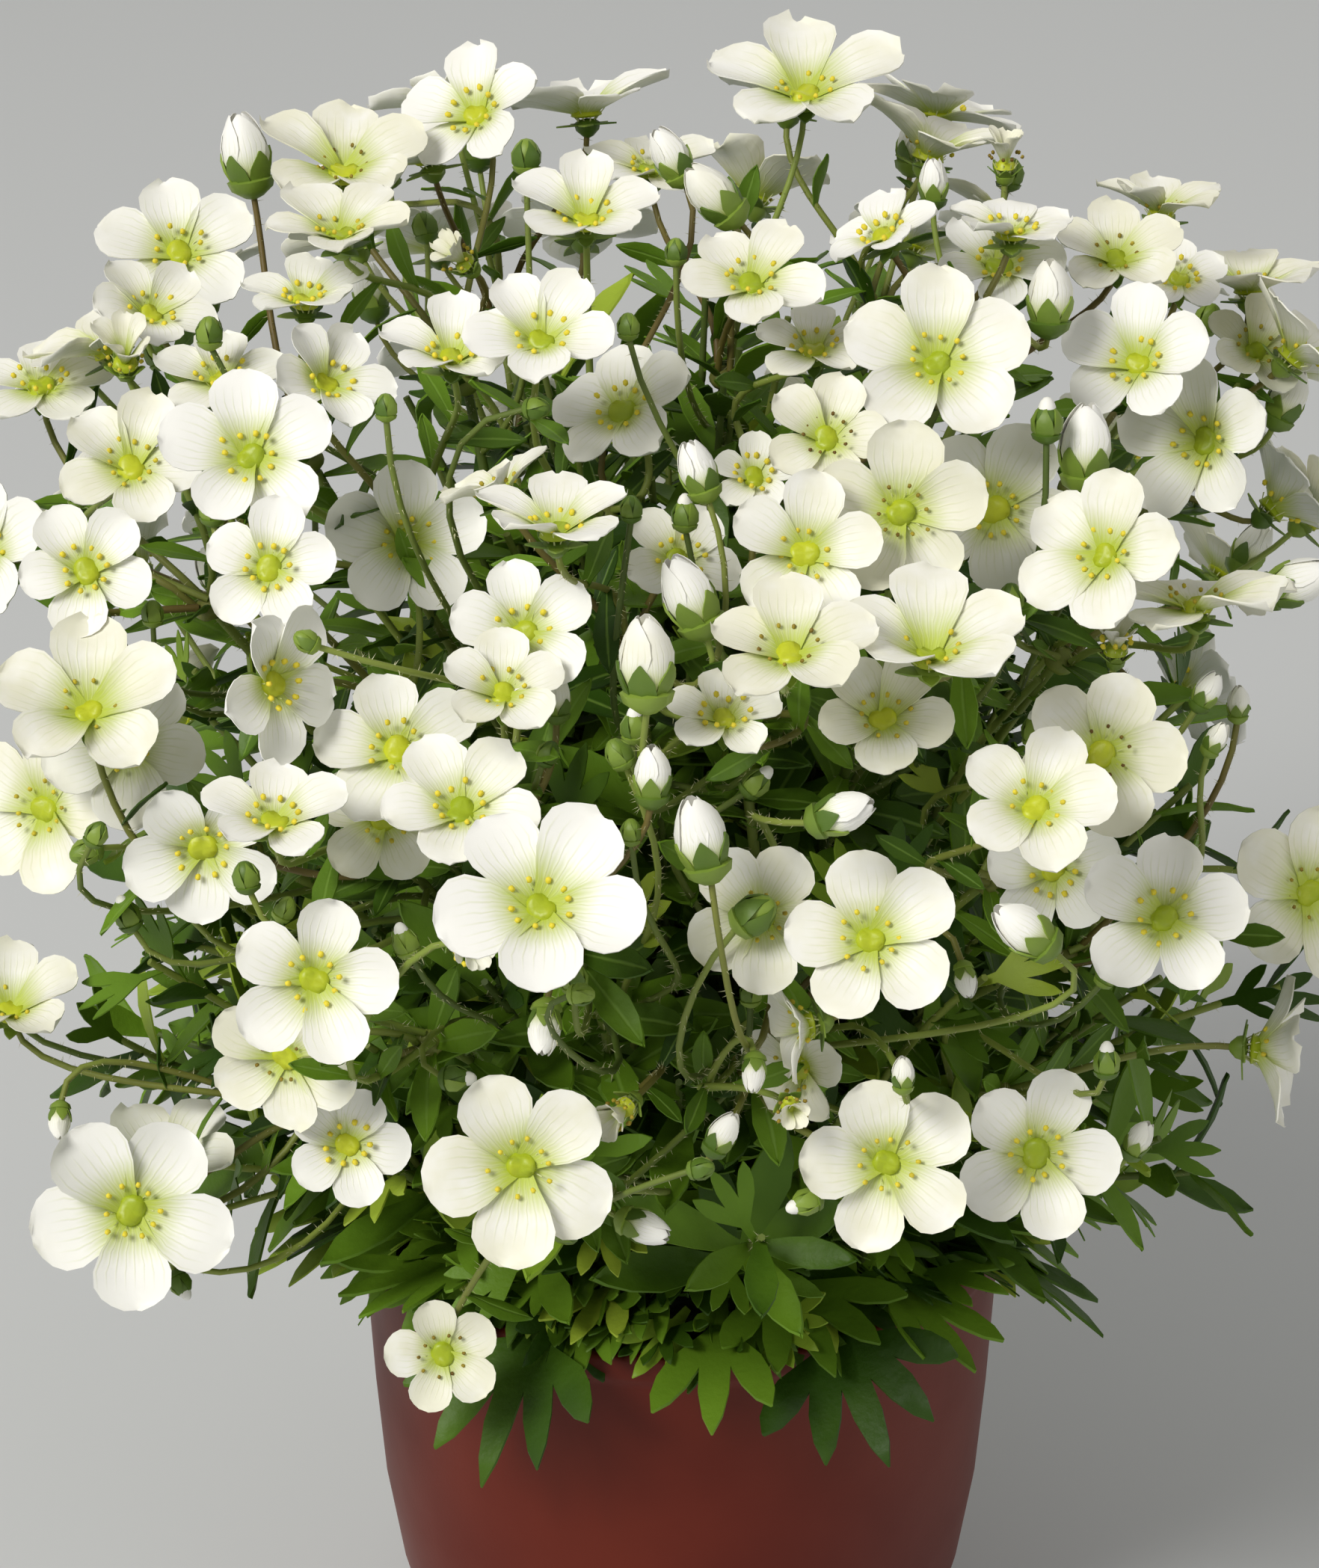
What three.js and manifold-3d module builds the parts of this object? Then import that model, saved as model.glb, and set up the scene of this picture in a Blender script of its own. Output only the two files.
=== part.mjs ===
// A mossy saxifrage in full flower, in its small nursery pot.
// Millimetres, +Z up, the origin in the middle of the pot's flat base. The plant's front is -Y.
// Leafy stems stand in holes in the soil, pass through a cushion of lobed leaves and carry heads of
// white five-petalled blooms, which together make a ball. The blooms of the front are listed as they
// are seen from the front and a little above, and their depth follows the ball. The back's are
// placed by a rule.

import * as THREE from "three";
import { mergeVertices } from "three/addons/utils/BufferGeometryUtils.js";
import Module from "manifold-3d";

const wasm = await Module();
wasm.setup();

// Driving dimensions of the pot and what fills it
const potHeight = 90;
const potWall = 2.2;
const potFloor = 3;
const lipRadius = 56.2;
const potOutline = [[38, 0], [42.6, 2.4], [47, 13], [49.6, 22], [52.2, 38], [53.7, 56.6], [55.2, 84.5],
  [lipRadius, 85.5], [lipRadius, 89.2]];
const potSides = 24;
const soilTop = 83;
const soilRadius = 52.4;
const soilCrown = 1.5;
const fitGap = 0.3;

// Driving dimensions of the ball of blooms and of the front view in which they are listed
const ball = { height: 182, radius: 115, rise: 101 };
const view = { elevation: 25, distance: 900, across: -3.75, up: 152.2 };
const depthPerShare = 12;

// Driving dimensions of the plant's pieces
const stemRadius = 1.6;
const stemSides = 3;
const stemSteps = 5;
const pedicelRadius = 0.85;
const bloomStalkSteps = 2;
const budStalkSteps = 1;
const stalkHandle = 0.35;
const stalkBends = [0, 4, 8, 13, 19];
const bendShares = { first: 1.5, second: 0.3 };
const branchPoint = 0.45;
const branchLean = { along: 0.55, aside: 0.83 };
const rootDepth = 66;
const rootSpread = 37;
const headReach = 34;
const headCentre = 112;
const knotGap = 0.7;
const knot = { leastRing: 1.1, ringPerPedicel: 0.36, edge: 1.7, length: 3.6, seat: 0.5, sides: 5 };
const calyxDepth = 4.2;
const calyxSeat = 0.8;
const crownHeight = 0.4;
const petalRise = 18;
const petalRiseSpread = 9;
const notchFall = 0.06;
const leastBud = 5.6;
const budSeat = 1.4;
const budSides = 5;
const budWidth = { green: 0.42, white: 0.34 };
const budLean = 74;
const firstBudPlace = 0.91;
const budPlaceStep = 0.06;
const clearance = 0.35;
const tubeRoom = 0.9;
const leafGap = 36;
const leafTurns = [0, 0.5, -0.5, 1, -1, 1.6, -1.6, 2.3, -2.3, 3.1];
const lastLeafPlace = 0.97;
const firstLeafPlace = { stem: 0.5, branch: 0.12 };
const stemLeaf = { length: 13, spread: 5, width: 5.2, thickness: 1.3, slant: 48, slantSpread: 16 };
const basalLeaf = { count: 66, length: 21, spread: 8, longerAtRim: 5, thickness: 1.5, palm: 0.55 };
const cushion = { radius: 56, rootInset: 5, fall: 13, sink: 3, climb: 1.15, climbFall: 1.3 };
const coreOutline = [[49, 83.4], [51.2, 91.5], [57, 96], [49, 105]];
const coreTop = 109;
const coreSides = 14;

// The front stems, each with one or two heads. A bloom is [across, up, width, the way it leans on the
// view, how far it leans, depth share, the way one petal points, petal rise]. A bud is [across, up,
// length, the way it points, stage, depth share], where stage 0 is a green bud, 1 a green bud
// with a white tip, and 2 a white bud in its green calyx.
const frontStems = [
  [
    {
      blooms: [[-84, 240.5, 27, 90, 30, 1, 100], [-89, 230, 21, 60, 45, 1.05, 54],
        [-63, 232, 21, 90, 60, 0.8, 90]],
      buds: [[-73, 258, 13, 100, 2, 1], [-79, 228.5, 6, 90, 0, 1]],
    },
    {
      blooms: [[-56.5, 253.5, 30, 90, 50, 1, 90], [-57, 243, 25, 90, 60, 1, 54],
        [-34, 263.5, 25, 130, 40, 1, 90], [-36, 239, 13, 140, 50, 0.8, 90, 62]],
      buds: [[-26, 258, 6.5, 90, 0, 1]],
    },
  ],
  [
    {
      blooms: [[-107, 218, 26, 90, 55, 1, 90], [-93, 222, 18, 90, 40, 0.9, 90, 60],
        [-92, 204.5, 25, 90, 30, 1.05, 70], [-99.5, 187.5, 23, 90, 15, 1.05, 50],
        [-116, 190, 26, 150, 25, 1, 90]],
      buds: [[-101, 201.5, 5, 90, 0, 1.05], [-88.5, 181.5, 5, 90, 0, 1]],
    },
  ],
  [
    {
      blooms: [[-77, 219, 22, 90, 50, 0.75, 90], [-60, 218.5, 22, 45, 40, 1, 60],
        [-72, 206.5, 29, 90, 15, 1, 95], [-38.5, 222.5, 24, 90, 55, 1, 90]],
      buds: [[-49.5, 216, 5, 90, 0, 1], [-78.5, 199, 6, 90, 0, 1]],
    },
    {
      blooms: [[-69, 188, 22, 90, 10, 1, 80], [-46, 192.5, 27, 0, 5, 0.6, 90],
        [-69, 169, 26, 0, 50, 1, 60]],
      buds: [[-63.5, 176.5, 5, 150, 0, 1.05], [-62.5, 172.5, 5, 60, 0, 1]],
    },
  ],
  [
    {
      blooms: [[-99, 163.5, 31, 90, 30, 1.05, 90], [-93, 158, 28, 90, 20, 0.75, 60],
        [-106, 148, 28, 180, 25, 1, 75]],
      buds: [[-97.5, 144.5, 5, 60, 0, 1], [-100.5, 140.5, 6, 200, 0, 1]],
    },
    {
      blooms: [[-80, 142, 26, 270, 20, 0.85, 120], [-68, 145, 24, 90, 50, 1.08, 90],
        [-50, 146.5, 22, 0, 5, 0.85, 84]],
      buds: [[-73, 137.5, 6, 100, 0, 1], [-66, 132, 5, 60, 0, 1], [-93, 131, 6, 110, 1, 1]],
    },
  ],
  [
    {
      blooms: [[-47.5, 157.5, 28, 90, 25, 0.9, 100], [-37, 147, 27, 90, 35, 1.05, 120],
        [-30, 166.5, 22, 90, 35, 1, 90], [-26.5, 177, 25, 90, 15, 1, 100]],
      buds: [[-22, 158, 5, 60, 0, 0.95], [-21, 167, 8, 90, 2, 1]],
    },
  ],
  [
    {
      blooms: [[-16, 245.5, 25, 90, 50, 1, 90], [-23.5, 225.5, 25, 90, 35, 1, 54],
        [-9.5, 214, 26, 130, 40, 0.7, 90]],
      buds: [[-9, 229.5, 5, 90, 0, 1], [-23.5, 215, 5, 0, 0, 1.02], [-2, 257.5, 10, 120, 2, 1]],
    },
    {
      blooms: [[20.5, 266.5, 32, 90, 55, 1, 90], [-5, 254, 22, 90, 60, 0.2, 90],
        [11.5, 235, 24, 90, 40, 1, 54]],
      buds: [[5, 251, 12, 135, 2, 1], [-1, 242, 5, 90, 0, 1]],
    },
  ],
  [
    {
      blooms: [[34, 243, 20, 120, 60, 1, 90], [22, 224, 20, 90, 50, 0.85, 90],
        [42.5, 222, 31, 90, 15, 1.05, 90], [24, 209.5, 22, 90, 20, 0.95, 70]],
      buds: [],
    },
  ],
  [
    {
      blooms: [[55, 243.5, 22, 90, 65, 1, 90], [53, 238, 22, 90, 40, 0.8, 54],
        [72.5, 239, 22, 90, 40, 1, 90], [54, 255, 13, 90, 65, 0.8, 90, 60]],
      buds: [[42, 253, 8, 90, 2, 0.7], [61.5, 234, 12, 90, 2, 1.05]],
    },
    {
      blooms: [[83, 236, 16, 90, 40, 0.6, 90], [80, 247, 22, 90, 70, 0.1, 90],
        [95, 234, 28, 90, 80, 1, 90], [95.5, 224, 20, 60, 40, 0.7, 70],
        [76.5, 222, 25, 130, 30, 1, 80]],
      buds: [],
    },
  ],
  [
    {
      blooms: [[88, 209.5, 28, 180, 35, 1, 90], [71, 190, 27, 150, 30, 1, 70],
        [86, 181, 34, 90, 75, 1.08, 90]],
      buds: [[67.5, 209, 14, 90, 2, 1], [103, 186, 12, 20, 2, 1], [67.5, 201, 5, 90, 0, 0.95]],
    },
  ],
  [
    {
      blooms: [[-30, 200, 20, 120, 75, 1, 90], [-21, 193.5, 26, 90, 65, 1.02, 90],
        [-1, 189, 22, 45, 30, 0.8, 60]],
      buds: [[1, 184, 14, 115, 2, 1.05], [-8.5, 199, 5, 90, 0, 1], [0.5, 198, 6, 90, 1, 0.95],
        [2.5, 205, 10, 110, 2, 1]],
    },
    {
      blooms: [[12, 203, 15, 90, 30, 0.7, 90], [20.5, 190.5, 26, 90, 10, 1, 80],
        [18, 173, 28, 90, 45, 1.03, 90], [7, 162.5, 20, 90, 45, 1, 90]],
      buds: [[-6, 173, 15, 92, 2, 1.05], [-8, 162.5, 6, 90, 1, 1]],
    },
  ],
  [
    {
      blooms: [[36.5, 197.5, 28.5, 0, 5, 1, 90], [52, 198, 28, 0, 5, 0.8, 60],
        [41.5, 172.5, 33, 90, 55, 1.05, 90], [33.5, 162.5, 23, 90, 30, 0.95, 54]],
      buds: [[55, 184, 6, 90, 0, 1], [61, 213.5, 7, 90, 1, 1]],
    },
  ],
  [
    {
      blooms: [[70, 157, 29, 90, 10, 1, 67], [59, 147.5, 27, 90, 25, 1.08, 70],
        [62, 138, 22, 270, 10, 0.75, 90], [72.5, 174, 13, 90, 60, 0.85, 90, 60]],
      buds: [[59, 162, 6, 90, 1, 0.9], [88, 168, 7, 60, 2, 0.95]],
    },
    {
      blooms: [[80.5, 129.5, 29, 90, 15, 1.02, 80], [104.5, 134, 30, 0, 10, 1, 80]],
      buds: [[89.5, 160, 6, 60, 2, 1], [93, 166, 6, 90, 2, 0.9], [71.5, 121, 5, 60, 0, 1]],
    },
  ],
  [
    {
      blooms: [[95, 108, 27, -5, 85, 1, 90], [59, 90.5, 28, 0, 5, 1, 66]],
      buds: [[71, 106.5, 6, 90, 1, 1.05], [76.5, 93, 7, 60, 2, 1]],
    },
  ],
  [
    {
      blooms: [[-61.5, 119.5, 29, 0, 5, 1.1, 75], [-66, 107, 25, 240, 25, 0.95, 60],
        [-56, 92, 20, 0, 5, 0.95, 68], [-37, 125.5, 13, -30, 35, 1.05, 90, 60]],
      buds: [[-46.5, 126.5, 6, 110, 1, 1.05]],
    },
  ],
  [
    {
      blooms: [[-112, 113.5, 25, 90, 50, 1, 90], [-92, 81, 34, 0, 5, 0.9, 53],
        [-86, 87.5, 25, 90, 50, 1.05, 54]],
      buds: [[-110, 123, 6, 60, 1, 0.4], [-104, 95.5, 6, -90, 2, 1], [-90, 74.5, 6, 150, 0, 1],
        [-83.5, 68, 5, -60, 1, 1]],
    },
  ],
  [
    {
      blooms: [[-23.5, 131, 34, 90, 25, 1.05, 55]],
      buds: [[-23, 111, 9, -95, 2, 1.05], [-5, 154, 10, 90, 2, 1.05], [-18, 120.5, 6, 90, 0, 1.02],
        [-16, 117, 5, 0, 0, 1], [-8.5, 145, 5, 90, 0, 1.05], [-11, 158, 6, 120, 0, 1]],
    },
    {
      blooms: [[-27, 88.5, 32, 0, 5, 1.05, 43], [-40, 57, 19, 0, 5, 1.1, 33],
        [-9, 98.5, 13, 220, 50, 0.9, 90, 60]],
      buds: [[-37, 103, 6, 0, 1, 1], [-19, 77, 6, -40, 0, 1], [-6, 78, 9, -20, 2, 1]],
    },
  ],
  [
    {
      blooms: [[13, 130, 25, 0, 5, 0.95, 60], [31.5, 126, 30, 90, 10, 1, 102]],
      buds: [[3, 143.5, 14, 105, 2, 1.12], [27, 147.5, 11, 20, 2, 1.02], [13, 131, 9, 35, 0, 1.1],
        [13, 153, 6, 45, 1, 0.8], [11.5, 118, 5, 90, 0, 0.9]],
    },
    {
      blooms: [[22, 112, 20, 190, 80, 0.95, 90], [20, 105, 20, 200, 50, 0.8, 90],
        [34, 89, 29, 0, 5, 1.05, 33], [18, 98.5, 9, -60, 20, 1.02, 90, 60]],
      buds: [[12, 103.5, 6.5, -95, 2, 1.05], [7, 94, 8, 60, 2, 1.02], [4, 88, 5, 10, 0, 1],
        [20, 82, 6, 200, 1, 1], [37, 104, 6, 90, 2, 0.95], [47.5, 119, 6, -80, 2, 1.02],
        [57, 128, 12, 145, 2, 1]],
    },
  ],
];

// The back's rows of heads: how far from upright, how many heads, and where the row starts
const backRows = [
  { fromTop: 36, heads: 2, first: 52, step: 72 },
  { fromTop: 64, heads: 4, first: 20, step: 47 },
  { fromTop: 93, heads: 3, first: 36, step: 54 },
];
const backHeadSpan = 25;
const backBlooms = 4;
const backBuds = 2;
const ballDegree = 1.9;
const degrees = THREE.MathUtils.degToRad;

const RIGHT = new THREE.Vector3(1, 0, 0);
const SKY = new THREE.Vector3(0, 0, 1);
const tilt = degrees(view.elevation);
const UP = new THREE.Vector3(0, Math.sin(tilt), Math.cos(tilt));
const TOWARD = new THREE.Vector3(0, -Math.cos(tilt), Math.sin(tilt));
const goldenAngle = Math.PI * (3 - Math.sqrt(5));

// A repeatable draw from 0 to 1 for one use of one numbered piece
function draw(item, use) {
  const wave = Math.sin(item * 12.9898 + use * 78.233) * 43758.5453;
  return wave - Math.floor(wave);
}

function along(point, direction, distance) {
  return point.clone().addScaledVector(direction, distance);
}

// A unit vector square to the given one, turned round it by an angle
function sideways(direction, angle) {
  const flat = Math.abs(direction.z) < 0.9 ? SKY : RIGHT;
  const side = new THREE.Vector3().crossVectors(flat, direction).normalize();
  return side.applyAxisAngle(direction, angle);
}

// Places in the front view

// The point of the plant seen at a place of the front view, at a share of the ball's depth
function seenDepth(across, up, share) {
  const { start, step } = lineOfSight(across, up);
  const radii = new THREE.Vector3(ball.radius, ball.radius, ball.rise);
  const from = start.clone().sub(new THREE.Vector3(0, 0, ball.height)).divide(radii);
  const pace = step.clone().divide(radii);
  const half = from.dot(pace);
  const root = Math.sqrt(Math.max(0, half * half - pace.lengthSq() * (from.lengthSq() - 1)));
  return (share * root - half) / pace.lengthSq() + depthPerShare * (share - 1);
}

function lineOfSight(across, up) {
  const centre = new THREE.Vector3(view.across, 0, view.up / Math.cos(tilt));
  const offset = RIGHT.clone().multiplyScalar(across - view.across).addScaledVector(UP, up - view.up);
  return { start: centre.add(offset), step: TOWARD.clone().addScaledVector(offset, -1 / view.distance) };
}

function seenPoint(across, up, depth) {
  const { start, step } = lineOfSight(across, up);
  return start.addScaledVector(step, depth);
}

function seenSize(size, depth) {
  return (size * (view.distance - depth)) / view.distance;
}

// A direction that points at an angle on the view and leans away from the viewer's eye
function seenDirection(angle, lean) {
  const way = degrees(angle);
  const off = degrees(lean);
  return TOWARD.clone().multiplyScalar(Math.cos(off))
    .addScaledVector(RIGHT, Math.sin(off) * Math.cos(way))
    .addScaledVector(UP, Math.sin(off) * Math.sin(way));
}

// The blooms and buds of every head

const stems = [];
let bloomCount = 0;

// How far a bloom's petals rise, in degrees
function drawnRise(item) {
  return petalRise + petalRiseSpread * (draw(item, 1) - 0.5) * 2;
}

function readBloom([across, up, width, leanTo, lean, share, spin, rise]) {
  const item = bloomCount++;
  return {
    item, across, up, width, spin, steps: bloomStalkSteps,
    normal: seenDirection(leanTo, lean),
    rise: rise ?? drawnRise(item),
    depth: seenDepth(across, up, share),
  };
}

// A bud can stand at any of some places, of which the first that is clear of the petals is taken
const budShifts = [0, 2.5, -2.5, 5, -5, 8, -8, 12, -12];

function readBud([across, up, length, pointsTo, stage, share]) {
  const item = bloomCount++;
  const depth = seenDepth(across, up, share);
  const size = seenSize(length, depth);
  const axis = seenDirection(pointsTo, budLean);
  const middle = seenPoint(across, up, depth);
  const sight = lineOfSight(across, up).step.normalize();
  const places = budShifts.map((shift) => along(along(middle, axis, -size / 2), sight, shift));
  return { item, stage, axis, length: size, places, steps: budStalkSteps };
}

for (const heads of frontStems) {
  stems.push({
    heads: heads.map(({ blooms, buds }) => ({
      blooms: blooms.map(readBloom),
      buds: buds.map(readBud),
    })),
  });
}

// Blooms that overlap in the view are moved apart along the line of sight
const frontBlooms = stems.flatMap(({ heads }) => heads.flatMap(({ blooms }) => blooms));
const settleRounds = 24;
const nearRoom = 3;
const roomPerOverlap = 0.32;
const mostRoom = 10;
for (let round = 0; round < settleRounds; round++) {
  for (const [i, one] of frontBlooms.entries()) {
    for (const other of frontBlooms.slice(i + 1)) {
      const apart = Math.hypot(one.across - other.across, one.up - other.up);
      const overlap = (one.width + other.width) / 2 - apart;
      const way = one.depth >= other.depth ? 1 : -1;
      const room = Math.min(mostRoom, nearRoom + roomPerOverlap * overlap);
      const short = room - way * (one.depth - other.depth);
      if (overlap <= 0 || short <= 0) continue;
      one.depth += (way * short) / 4;
      other.depth -= (way * short) / 4;
    }
  }
}
for (const bloom of frontBlooms) {
  bloom.centre = seenPoint(bloom.across, bloom.up, bloom.depth);
  bloom.radius = seenSize(bloom.width, bloom.depth) / 2;
}

// A point of the ball, its angles in degrees from upright and round from +X
function onBall(fromTop, round, share = 1) {
  const down = degrees(fromTop);
  const turn = degrees(round);
  const out = Math.sin(down) * ball.radius * share;
  return new THREE.Vector3(out * Math.cos(turn), out * Math.sin(turn),
    ball.height + Math.cos(down) * ball.rise * share);
}

// One head of the back: a bloom in its middle and three round it, with buds between them
function backHead(fromTop, round) {
  const blooms = [];
  const buds = [];
  for (let k = 0; k < backBlooms; k++) {
    const item = bloomCount++;
    const turn = degrees(90 + 120 * k + 30 * (draw(item, 2) - 0.5));
    const span = k === 0 ? 0 : backHeadSpan * (0.9 + 0.3 * draw(item, 3));
    const centre = onBall(fromTop + (span * Math.sin(turn)) / ballDegree,
      round + (span * Math.cos(turn)) / (ballDegree * Math.sin(degrees(fromTop))),
      k === 0 ? 1.03 : 0.96 + 0.05 * draw(item, 4));
    const outward = centre.clone().sub(new THREE.Vector3(0, 0, headCentre + 50)).normalize();
    const normal = outward.clone().addScaledVector(SKY, 0.15 + 0.5 * draw(item, 5)).normalize();
    blooms.push({
      item, centre, normal, steps: bloomStalkSteps, rise: drawnRise(item), push: outward,
      radius: 12 + 2.6 * draw(item, 6), spin: 360 * draw(item, 7),
    });
  }
  for (let k = 0; k < backBuds; k++) {
    const item = bloomCount++;
    const places = Array.from({ length: 12 }, (_, place) => {
      const turn = degrees(30 * (place * 5 + 6 * k));
      return onBall(fromTop + 8 * Math.sin(turn),
        round + (8 * Math.cos(turn)) / Math.sin(degrees(fromTop)), 0.97);
    });
    const axis = onBall(fromTop, round).sub(new THREE.Vector3(0, 0, headCentre)).normalize();
    axis.addScaledVector(SKY, 0.6).normalize();
    buds.push({ item, stage: 2 - 2 * k, axis, length: 10 - 4 * k, places, steps: budStalkSteps });
  }
  return { blooms, buds };
}

for (const bloom of frontBlooms) {
  bloom.push = lineOfSight(bloom.across, bloom.up).step.normalize();
}

const backHeads = backRows.flatMap(({ fromTop, heads, first, step }) =>
  Array.from({ length: heads }, (_, k) => backHead(fromTop, first + step * k)));
while (backHeads.length > 0) {
  stems.push({ heads: backHeads.splice(0, 2) });
}

// Blooms whose petals would still meet are moved apart a little at a time

const allBlooms = stems.flatMap(({ heads }) => heads.flatMap(({ blooms }) => blooms));
for (const bloom of allBlooms) {
  bloom.slope = degrees(bloom.rise);
  bloom.reach = bloom.radius * Math.min(1, Math.cos(bloom.slope) * 1.08);
}

// Where a point is to the cup that a bloom's petals make: how far out, and how far above it
function offCup(point, bloom) {
  const offset = point.clone().sub(bloom.centre);
  const height = offset.dot(bloom.normal);
  const out = Math.sqrt(Math.max(0, offset.lengthSq() - height * height));
  return { out, above: (height - out * Math.tan(bloom.slope)) * Math.cos(bloom.slope) };
}

// Points all over a bloom's cup
const cupRings = [0.35, 0.7, 1];
const cupSides = 14;
function cupPoints(bloom) {
  const x = sideways(bloom.normal, 0);
  const y = sideways(bloom.normal, Math.PI / 2);
  const points = [along(bloom.centre, bloom.normal, -calyxDepth * calyxSeat)];
  for (const share of cupRings) {
    const out = share * bloom.reach;
    for (let k = 0; k < cupSides; k++) {
      const turn = (2 * Math.PI * k) / cupSides;
      points.push(along(bloom.centre, bloom.normal, out * Math.tan(bloom.slope))
        .addScaledVector(x, out * Math.cos(turn)).addScaledVector(y, out * Math.sin(turn)));
    }
  }
  return points;
}

const cupRoom = 0.8;
const cupPush = 0.7;
const cupRounds = 30;

// Whether one bloom's cup comes too near another's, or reaches through it
function cupReaches(one, other) {
  let over = false;
  let under = false;
  for (const point of cupPoints(one)) {
    const { out, above } = offCup(point, other);
    if (out > other.reach + cupRoom) continue;
    if (Math.abs(above) < cupRoom) return true;
    if (above > 0) over = true;
    else under = true;
  }
  return over && under;
}

for (let round = 0; round < cupRounds; round++) {
  for (const [i, one] of allBlooms.entries()) {
    for (const other of allBlooms.slice(i + 1)) {
      if (one.centre.distanceTo(other.centre) > one.radius + other.radius + cupRoom) continue;
      if (!cupReaches(one, other) && !cupReaches(other, one)) continue;
      const way = one.centre.clone().sub(other.centre).dot(one.push) >= 0 ? 1 : -1;
      one.centre.addScaledVector(one.push, way * cupPush);
      other.centre.addScaledVector(other.push, -way * cupPush);
    }
  }
}

const petalRoom = 0.6;
const budRoom = 0.8;

// How far a point is from a bloom's petals and the heart below them
function roomFromPetals(point, bloom) {
  const { out, above } = offCup(point, bloom);
  if (out > bloom.reach + 1) return out - bloom.reach;
  return Math.abs(above) - petalRoom - Math.max(0, calyxDepth - out) * 0.7;
}

// Each bud stands at the first of its places that is clear of petals and of the other buds
const settled = [];
for (const bud of stems.flatMap(({ heads }) => heads.flatMap(({ buds }) => buds))) {
  const width = bud.length * budWidth.green;
  const rooms = bud.places.map((base) => {
    const points = [0.1, 0.4, 0.8].map((share) => along(base, bud.axis, bud.length * share));
    return Math.min(
      ...points.flatMap((point) => allBlooms.map((bloom) => roomFromPetals(point, bloom) - width)),
      ...settled.map((other) =>
        base.distanceTo(other.base) - width - other.length * budWidth.green),
    );
  });
  const clear = rooms.findIndex((room) => room > budRoom);
  bud.base = bud.places[clear >= 0 ? clear : rooms.indexOf(Math.max(...rooms))];
  settled.push(bud);
}

// Paths of the stems and pedicels

// Every tube's path is kept as close points, so that the next one can be bent clear of them
const tubes = [];
const pathStep = 2.5;

// Points close together along the straight pieces that a tube of so many steps is made of
function pathPoints(curve, steps) {
  const corners = curve.getSpacedPoints(steps);
  const points = [corners[0]];
  for (const [index, corner] of corners.slice(1).entries()) {
    const count = Math.max(1, Math.ceil(corner.distanceTo(corners[index]) / pathStep));
    for (let k = 1; k <= count; k++) points.push(corners[index].clone().lerp(corner, k / count));
  }
  return points;
}

function roomRound(points, radius, node, piece) {
  let room = Infinity;
  const reach = points[0].distanceTo(points[points.length - 1]);
  for (const bloom of allBlooms) {
    if (bloom === piece || bloom.centre.distanceTo(points[0]) > reach + 40) continue;
    for (const point of points) room = Math.min(room, roomFromPetals(point, bloom) - radius);
  }
  for (const tube of tubes) {
    if (tube.node === node) continue;
    for (const point of points) {
      for (const other of tube.points) {
        room = Math.min(room, point.distanceTo(other) - radius - tube.radius);
      }
    }
  }
  return room;
}

// A path from one point to another, which leaves and arrives in the given directions and is bent
// sideways until it is clear of the other nodes' tubes
function clearPath({ from, leaving, to, arriving, radius, steps, node, piece = null }) {
  const span = from.distanceTo(to);
  const forward = to.clone().sub(from).normalize();
  let best = null;
  for (const bend of stalkBends) {
    for (let turn = 0; turn < (bend ? 8 : 1); turn++) {
      const shift = sideways(forward, (turn * Math.PI) / 4).multiplyScalar(bend);
      const curve = new THREE.CubicBezierCurve3(from,
        along(from, leaving, span * stalkHandle).addScaledVector(shift, bendShares.first),
        along(to, arriving, -span * stalkHandle).addScaledVector(shift, bendShares.second), to);
      const bentSteps = bend ? Math.max(2, steps) : steps;
      const points = pathPoints(curve, bentSteps);
      const room = roomRound(points, radius, node, piece);
      if (!best || room > best.room) best = { curve, points, room, steps: bentSteps };
      if (room > tubeRoom) break;
    }
    if (best.room > tubeRoom) break;
  }
  tubes.push({ node, points: best.points, radius });
  return { curve: best.curve, steps: best.steps };
}

function mean(points) {
  const sum = points.reduce((total, point) => total.add(point), new THREE.Vector3());
  return sum.divideScalar(points.length);
}

const twoDigits = (number) => String(number).padStart(2, "0");

// Heads fork at a point inside the ball, clear of all petals, from which their pedicels spread
const forkRoom = 4.5;
function clearFork({ middle, outward }) {
  let best = null;
  for (const aside of [0, 5, 10]) {
    for (const reach of [headReach, headReach - 5, headReach + 5]) {
      for (let turn = 0; turn < (aside ? 8 : 1); turn++) {
        const fork = along(middle, outward, -reach)
          .addScaledVector(sideways(outward, (turn * Math.PI) / 4), aside);
        const heart = along(fork, outward, knot.length / 2);
        const room = Math.min(...allBlooms.map((bloom) => roomFromPetals(heart, bloom)));
        if (!best || room > best.room) best = { fork, room };
        if (room > forkRoom) return fork;
      }
    }
  }
  return best.fork;
}

let headNumber = 0;
for (const [index, stem] of stems.entries()) {
  stem.name = `stem_${twoDigits(index + 1)}`;
  for (const head of stem.heads) {
    headNumber++;
    head.name = `head_${twoDigits(headNumber)}`;
    head.middle = mean(head.blooms.map((bloom) => bloom.centre));
    head.outward = head.middle.clone().sub(new THREE.Vector3(0, 0, headCentre)).normalize();
    head.fork = clearFork(head);
  }
  const middle = mean(stem.heads.map((head) => head.middle));
  const lean = middle.clone().sub(new THREE.Vector3(0, 0, potHeight)).normalize();
  const fromTop = Math.acos(lean.z) / (Math.PI / 2);
  const turn = Math.atan2(lean.y, lean.x);
  const reach = rootSpread * Math.min(1, fromTop);
  stem.root = new THREE.Vector3(reach * Math.cos(turn), reach * Math.sin(turn), rootDepth);
}

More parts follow.
